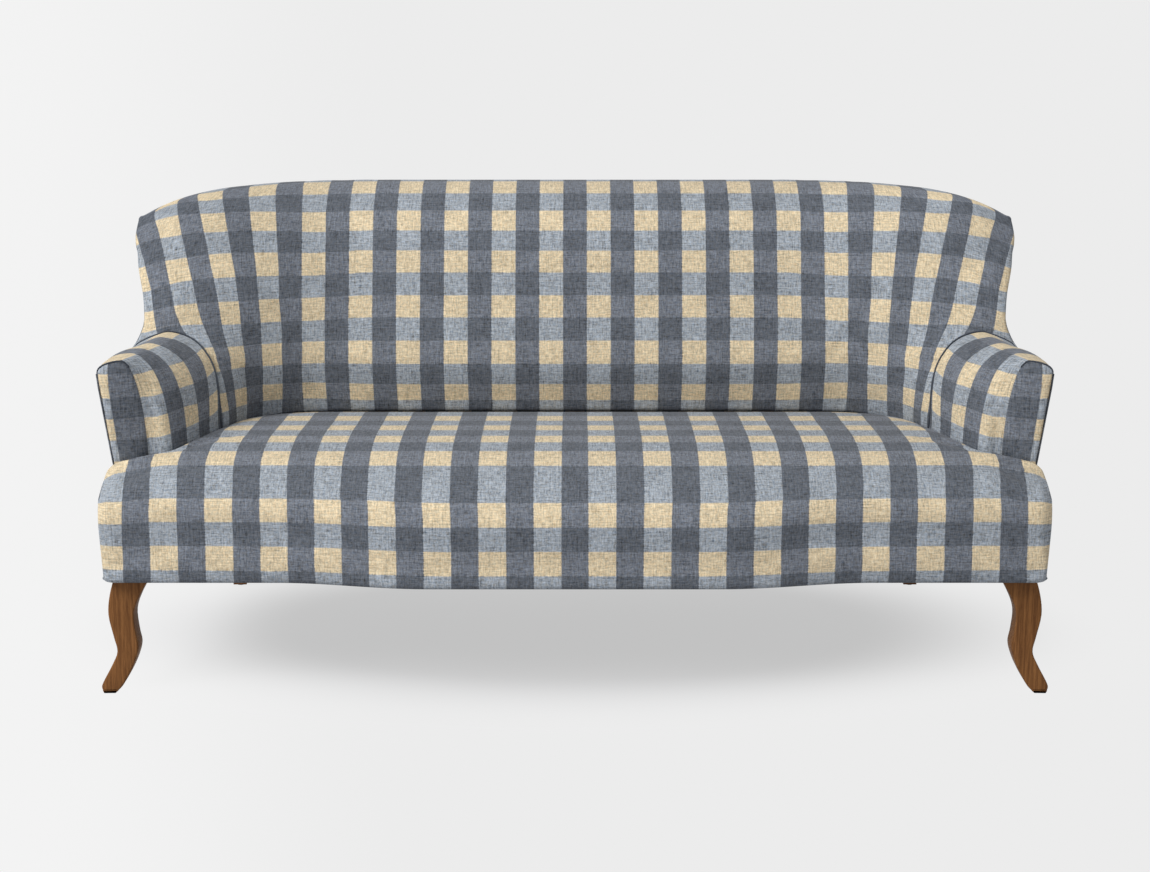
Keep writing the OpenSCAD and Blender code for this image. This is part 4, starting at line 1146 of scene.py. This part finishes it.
# The edges and the whole inner side of a pad are held
def heldGroup(piece, n, m, border):
    group = piece.vertex_groups.new(name="held")
    for i in range(n):
        for j in range(m):
            weight = 1.0 - smooth(min(i, n - 1 - i, j, m - 1 - j) / border)
            if weight > 0.001:
                group.add([i * m + j], weight, "REPLACE")
    group.add(list(range(n * m, 2 * n * m)), 1.0, "REPLACE")


def addCloth(piece):
    cloth = piece.modifiers.new("stuffing", "CLOTH")
    for key, value in stuffing["cloth"].items():
        setattr(cloth.settings, key, value)
    cloth.settings.effector_weights.gravity = 0
    cloth.collision_settings.use_collision = False
    cloth.collision_settings.use_self_collision = False


def swell(jobs):
    before = {}
    for piece, kind, n, m in jobs:
        heldGroup(piece, n, m, stuffing["free"][kind])
        before[piece] = np.array([v.co[:] for v in piece.data.vertices])
    for piece in before:
        addCloth(piece)
    for f in range(1, stuffing["frames"] + 1):
        scene.frame_set(f)
    depsgraph = bpy.context.evaluated_depsgraph_get()
    for piece, kind, n, m in jobs:
        shown = piece.evaluated_get(depsgraph).to_mesh()
        move = np.array([v.co[:] for v in shown.vertices]) - before[piece]
        size = np.linalg.norm(move, axis=1)
        print(piece.name, "swells up to", round(float(size.max()) * 1000, 1), "mm")
        move *= np.minimum(1.0, stuffing["cap"][kind] / 1000 / np.maximum(size, 1e-9))[:, None]
        piece.evaluated_get(depsgraph).to_mesh_clear()
        piece.modifiers.clear()
        for v, p in zip(piece.data.vertices, before[piece] + move):
            v.co = p
    scene.frame_set(1)
    for piece in before:
        piece.vertex_groups.clear()
        subdivide(piece)


armSize = ar["across"] + 1, ar["below"] + ar["around"] + 1 + ar["over"]
swell([(seatPad, "seat", 2 * len(seatHalfGrid) - 1, len(seatHalfGrid[0])),
       (insideBack, "back", 2 * len(backHalfGrid) - 1, len(backHalfGrid[0])),
       (arms[-1], "arm", *armSize), (arms[1], "arm", *armSize)])
print("covers filled")


# Seam shade: thin dark tubes that paint the shade along the facing's seam, the arm's crease and the wing's edge

shadeTubeShape = {"seam": 1.7, "wing": 2.0, "sides": 8, "up": [0.31, 0.2, 0.93]}


def tube(name, points, radius):
    turns = [2 * math.pi * k / shadeTubeShape["sides"] for k in range(shadeTubeShape["sides"])]
    rings = []
    for i, p in enumerate(points):
        t = unit(points[min(len(points) - 1, i + 1)] - points[max(0, i - 1)])
        a = unit(np.cross(t, shadeTubeShape["up"]))
        c = np.cross(t, a)
        rings.append([p + radius * (math.cos(k) * a + math.sin(k) * c) for k in turns])
    piece = newPiece(name, toFrame(rings), closedFaces(len(points), len(turns)), "paintedSeamShade")
    tidyFaces(piece)
    return piece


def makeSeamShades(side):
    arc = [p for p in armArch(0, 0) if p[2] > 640 or p[0] > 900]
    outer = [[lerp(arc[-1][0], earX - 5, k), 0, lerp(arc[-1][2], 450, k)] for k in np.linspace(0.08, 1, 16)]
    # the facing's seam is real, and the dark colour of the tube along it is painted shade
    facing = [[p[0], ar["frontDepth"] + facingSkew(p[0]), p[2]] for p in arc + outer]
    # painted shade: a dark tube in the crease between arm and back stands in for the crease's shadow
    crease = [p + np.array([-0.5, -2.0, 0.5]) for p in armGrid(0)[-1] if p[2] > 458]
    # painted shade: a dark tube along the wing's edge stands in for the shade of the outside panel seen edge-on
    wing = [backPoint(s, 3, 0.6) + np.array([1.5, 0, 0]) for s in np.linspace(underLength + 70, backLength - 4, 40)]
    lines = (("-facing-welt", facing, "seam"), ("-arm-crease", crease, "seam"), ("-wing-welt", wing, "wing"))
    return [tube(sides[side] + word, np.array(line) * [side, 1, 1], shadeTubeShape[key]) for word, line, key in lines]


seamShades = {side: makeSeamShades(side) for side in sides}
print("welts made")

# Every piece rides on the one body and stands for its CAD node: piece, node, slot, fill of a pad

stands = [(seatPad, "seat_pad", "check_cloth", 0.95), (insideBack, "inside_back_pad", "check_cloth", 0.95)]
for side, word in sides.items():
    stands += [(arms[side], word + "_arm_pad", "check_cloth", 0.9),
               (facings[side], word + "_arm_facing", "check_cloth", 0.8)]
stands += [(outsideBack, "outside_back", "check_cloth", None), (dustCover, "dust_cover", "dust_cloth", None),
           (hessian, "seat_hessian", "hessian", None), (webbing, "back_webbing", "webbing", None)]
for side, word in sides.items():
    stands += [(outsideArms[side][0], word + "_outside_arm", "check_cloth", None),
               (frontLegs[side], word + "_front_leg", "leg_wood", None)]
for piece, nodeName, slot, fill in stands:
    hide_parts(nodeName)
    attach(piece, "root")
for seamShade in seamShades[-1] + seamShades[1]:
    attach(seamShade, "root")


# Finishes of the frame's own nodes

# a word in a node's name and its finish: the first that fits counts, and the rest is timber
nodeFinishes = {"_leg": "legWood", "glide": "glide", "clips": "zinc", "spring": "steel", "wires": "steel",
                "screws": "zinc", "bolts": "zinc", "plates": "zinc",
                "post": "timberUp", "upright": "timberUp", "stump": "timberUp", "": "timber"}
for name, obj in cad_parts.items():
    finish = next(value for word, value in nodeFinishes.items() if word in name)
    for slot in obj.material_slots:
        slot.material = finishes[finish]
print("frame finished")

# Floor, light and camera

studio = {
    "floor": srgb(180, 180, 182), "background": srgb(236, 236, 236), "leftSide": srgb(243, 243, 243),
    "leftFrom": (-0.08, -0.3), "floorSize": 120, "floorDrop": 0.0005,
    "shadowShare": 0.5, "floorLift": 1.23, "fadeReach": (1.12, 0.57), "fadeMid": 0.05, "fade": (0.55, 1.05),
    "world": 0.4, "aim": (0, 0, 0.5),
    # name, place, size and power
    "lamps": [("key", (-5.0, -4.5, 6.6), (5.5, 4.0), 640.0), ("fill", (-0.6, -5.0, 1.8), (3.0, 2.0), 20.0)],
    # place, tilt in degrees, and the lens for a focal length in pixels over the photo's width
    "camera": (0, -4.107, 1.464), "tilt": 76.02, "sensor": 36, "focal": 2000 / 1150,
}


# What the camera sees, straight or by a reflection or through glass
def watched(tree):
    rays = node(tree, "ShaderNodeLightPath").outputs
    seen = calc(tree, "MAXIMUM", rays["Is Camera Ray"], rays["Is Glossy Ray"])
    return calc(tree, "MAXIMUM", seen, rays["Is Transmission Ray"])


def mixShaders(tree, share, first, second, out):
    mix = node(tree, "ShaderNodeMixShader", i0=share, i1=first.outputs[0], i2=second.outputs[0])
    tree.links.new(mix.outputs[0], out.inputs[0])


def makeFloor():
    bpy.ops.object.select_all(action="DESELECT")
    bpy.ops.mesh.primitive_plane_add(size=studio["floorSize"], location=(0, 0, -studio["floorDrop"]))
    floor = bpy.context.active_object
    floor.name = "floor"
    mat, tree, shader = material("pale floor")
    tree.nodes.remove(shader)
    diffuse = node(tree, "ShaderNodeBsdfDiffuse", Color=studio["floor"])
    # under the sofa the floor shows its shadow; farther out it fades to the plain backdrop
    here = node(tree, "ShaderNodeNewGeometry").outputs["Position"]
    reach = node(tree, "ShaderNodeMapping", {"vector_type": "TEXTURE"}, Vector=here,
                 Location=(0, studio["fadeMid"], 0), Scale=studio["fadeReach"] + (1,)).outputs[0]
    distance = node(tree, "ShaderNodeVectorMath", {"operation": "LENGTH"}, i0=reach).outputs["Value"]
    fade = mapped(tree, distance, studio["fade"])
    lift, shade = studio["floorLift"], studio["shadowShare"]
    strength = calc(tree, "ADD", lift, calc(tree, "MULTIPLY", fade, 1 - lift))
    # painted light: the backdrop glows a little paler toward the left, as seen from the camera's place
    part = node(tree, "ShaderNodeSeparateXYZ", Vector=here).outputs
    away = calc(tree, "MAXIMUM", 0.5, calc(tree, "ADD", part[1], -studio["camera"][1]))
    left = mapped(tree, calc(tree, "DIVIDE", part[0], away), studio["leftFrom"])
    backdrop = blendColours(tree, left, studio["background"], studio["leftSide"])
    plain = node(tree, "ShaderNodeEmission", Color=backdrop, Strength=strength)
    share = calc(tree, "ADD", 1 - shade, calc(tree, "MULTIPLY", fade, shade))
    mixShaders(tree, calc(tree, "MULTIPLY", watched(tree), share), diffuse, plain, tree.nodes["Material Output"])
    floor.data.materials.append(mat)


def makeWorld():
    scene.world = bpy.data.worlds.new("studio")
    scene.world.use_nodes = True
    tree = scene.world.node_tree
    tree.nodes.clear()
    soft = node(tree, "ShaderNodeBackground", Color=(1, 1, 1, 1), Strength=studio["world"])
    shown = node(tree, "ShaderNodeBackground", Color=studio["background"], Strength=1.0)
    mixShaders(tree, watched(tree), soft, shown, tree.nodes.new("ShaderNodeOutputWorld"))


def addToScene(name, data, place, turn):
    obj = bpy.data.objects.new(name, data)
    scene.collection.objects.link(obj)
    obj.location, obj.rotation_euler = place, turn
    return obj


def makeLamps():
    for name, place, size, power in studio["lamps"]:
        data = bpy.data.lights.new(name, "AREA")
        data.shape = "RECTANGLE"
        data.size, data.size_y = size
        data.energy = power
        aim = Vector(studio["aim"]) - Vector(place)
        addToScene(name, data, place, aim.to_track_quat("-Z", "Y").to_euler())


def makeCamera():
    data = bpy.data.cameras.new("camera")
    data.sensor_width = studio["sensor"]
    data.lens = studio["sensor"] * studio["focal"]
    scene.camera = addToScene("camera", data, studio["camera"], (math.radians(studio["tilt"]), 0, 0))


makeFloor()
makeWorld()
makeLamps()
makeCamera()
print("studio ready")
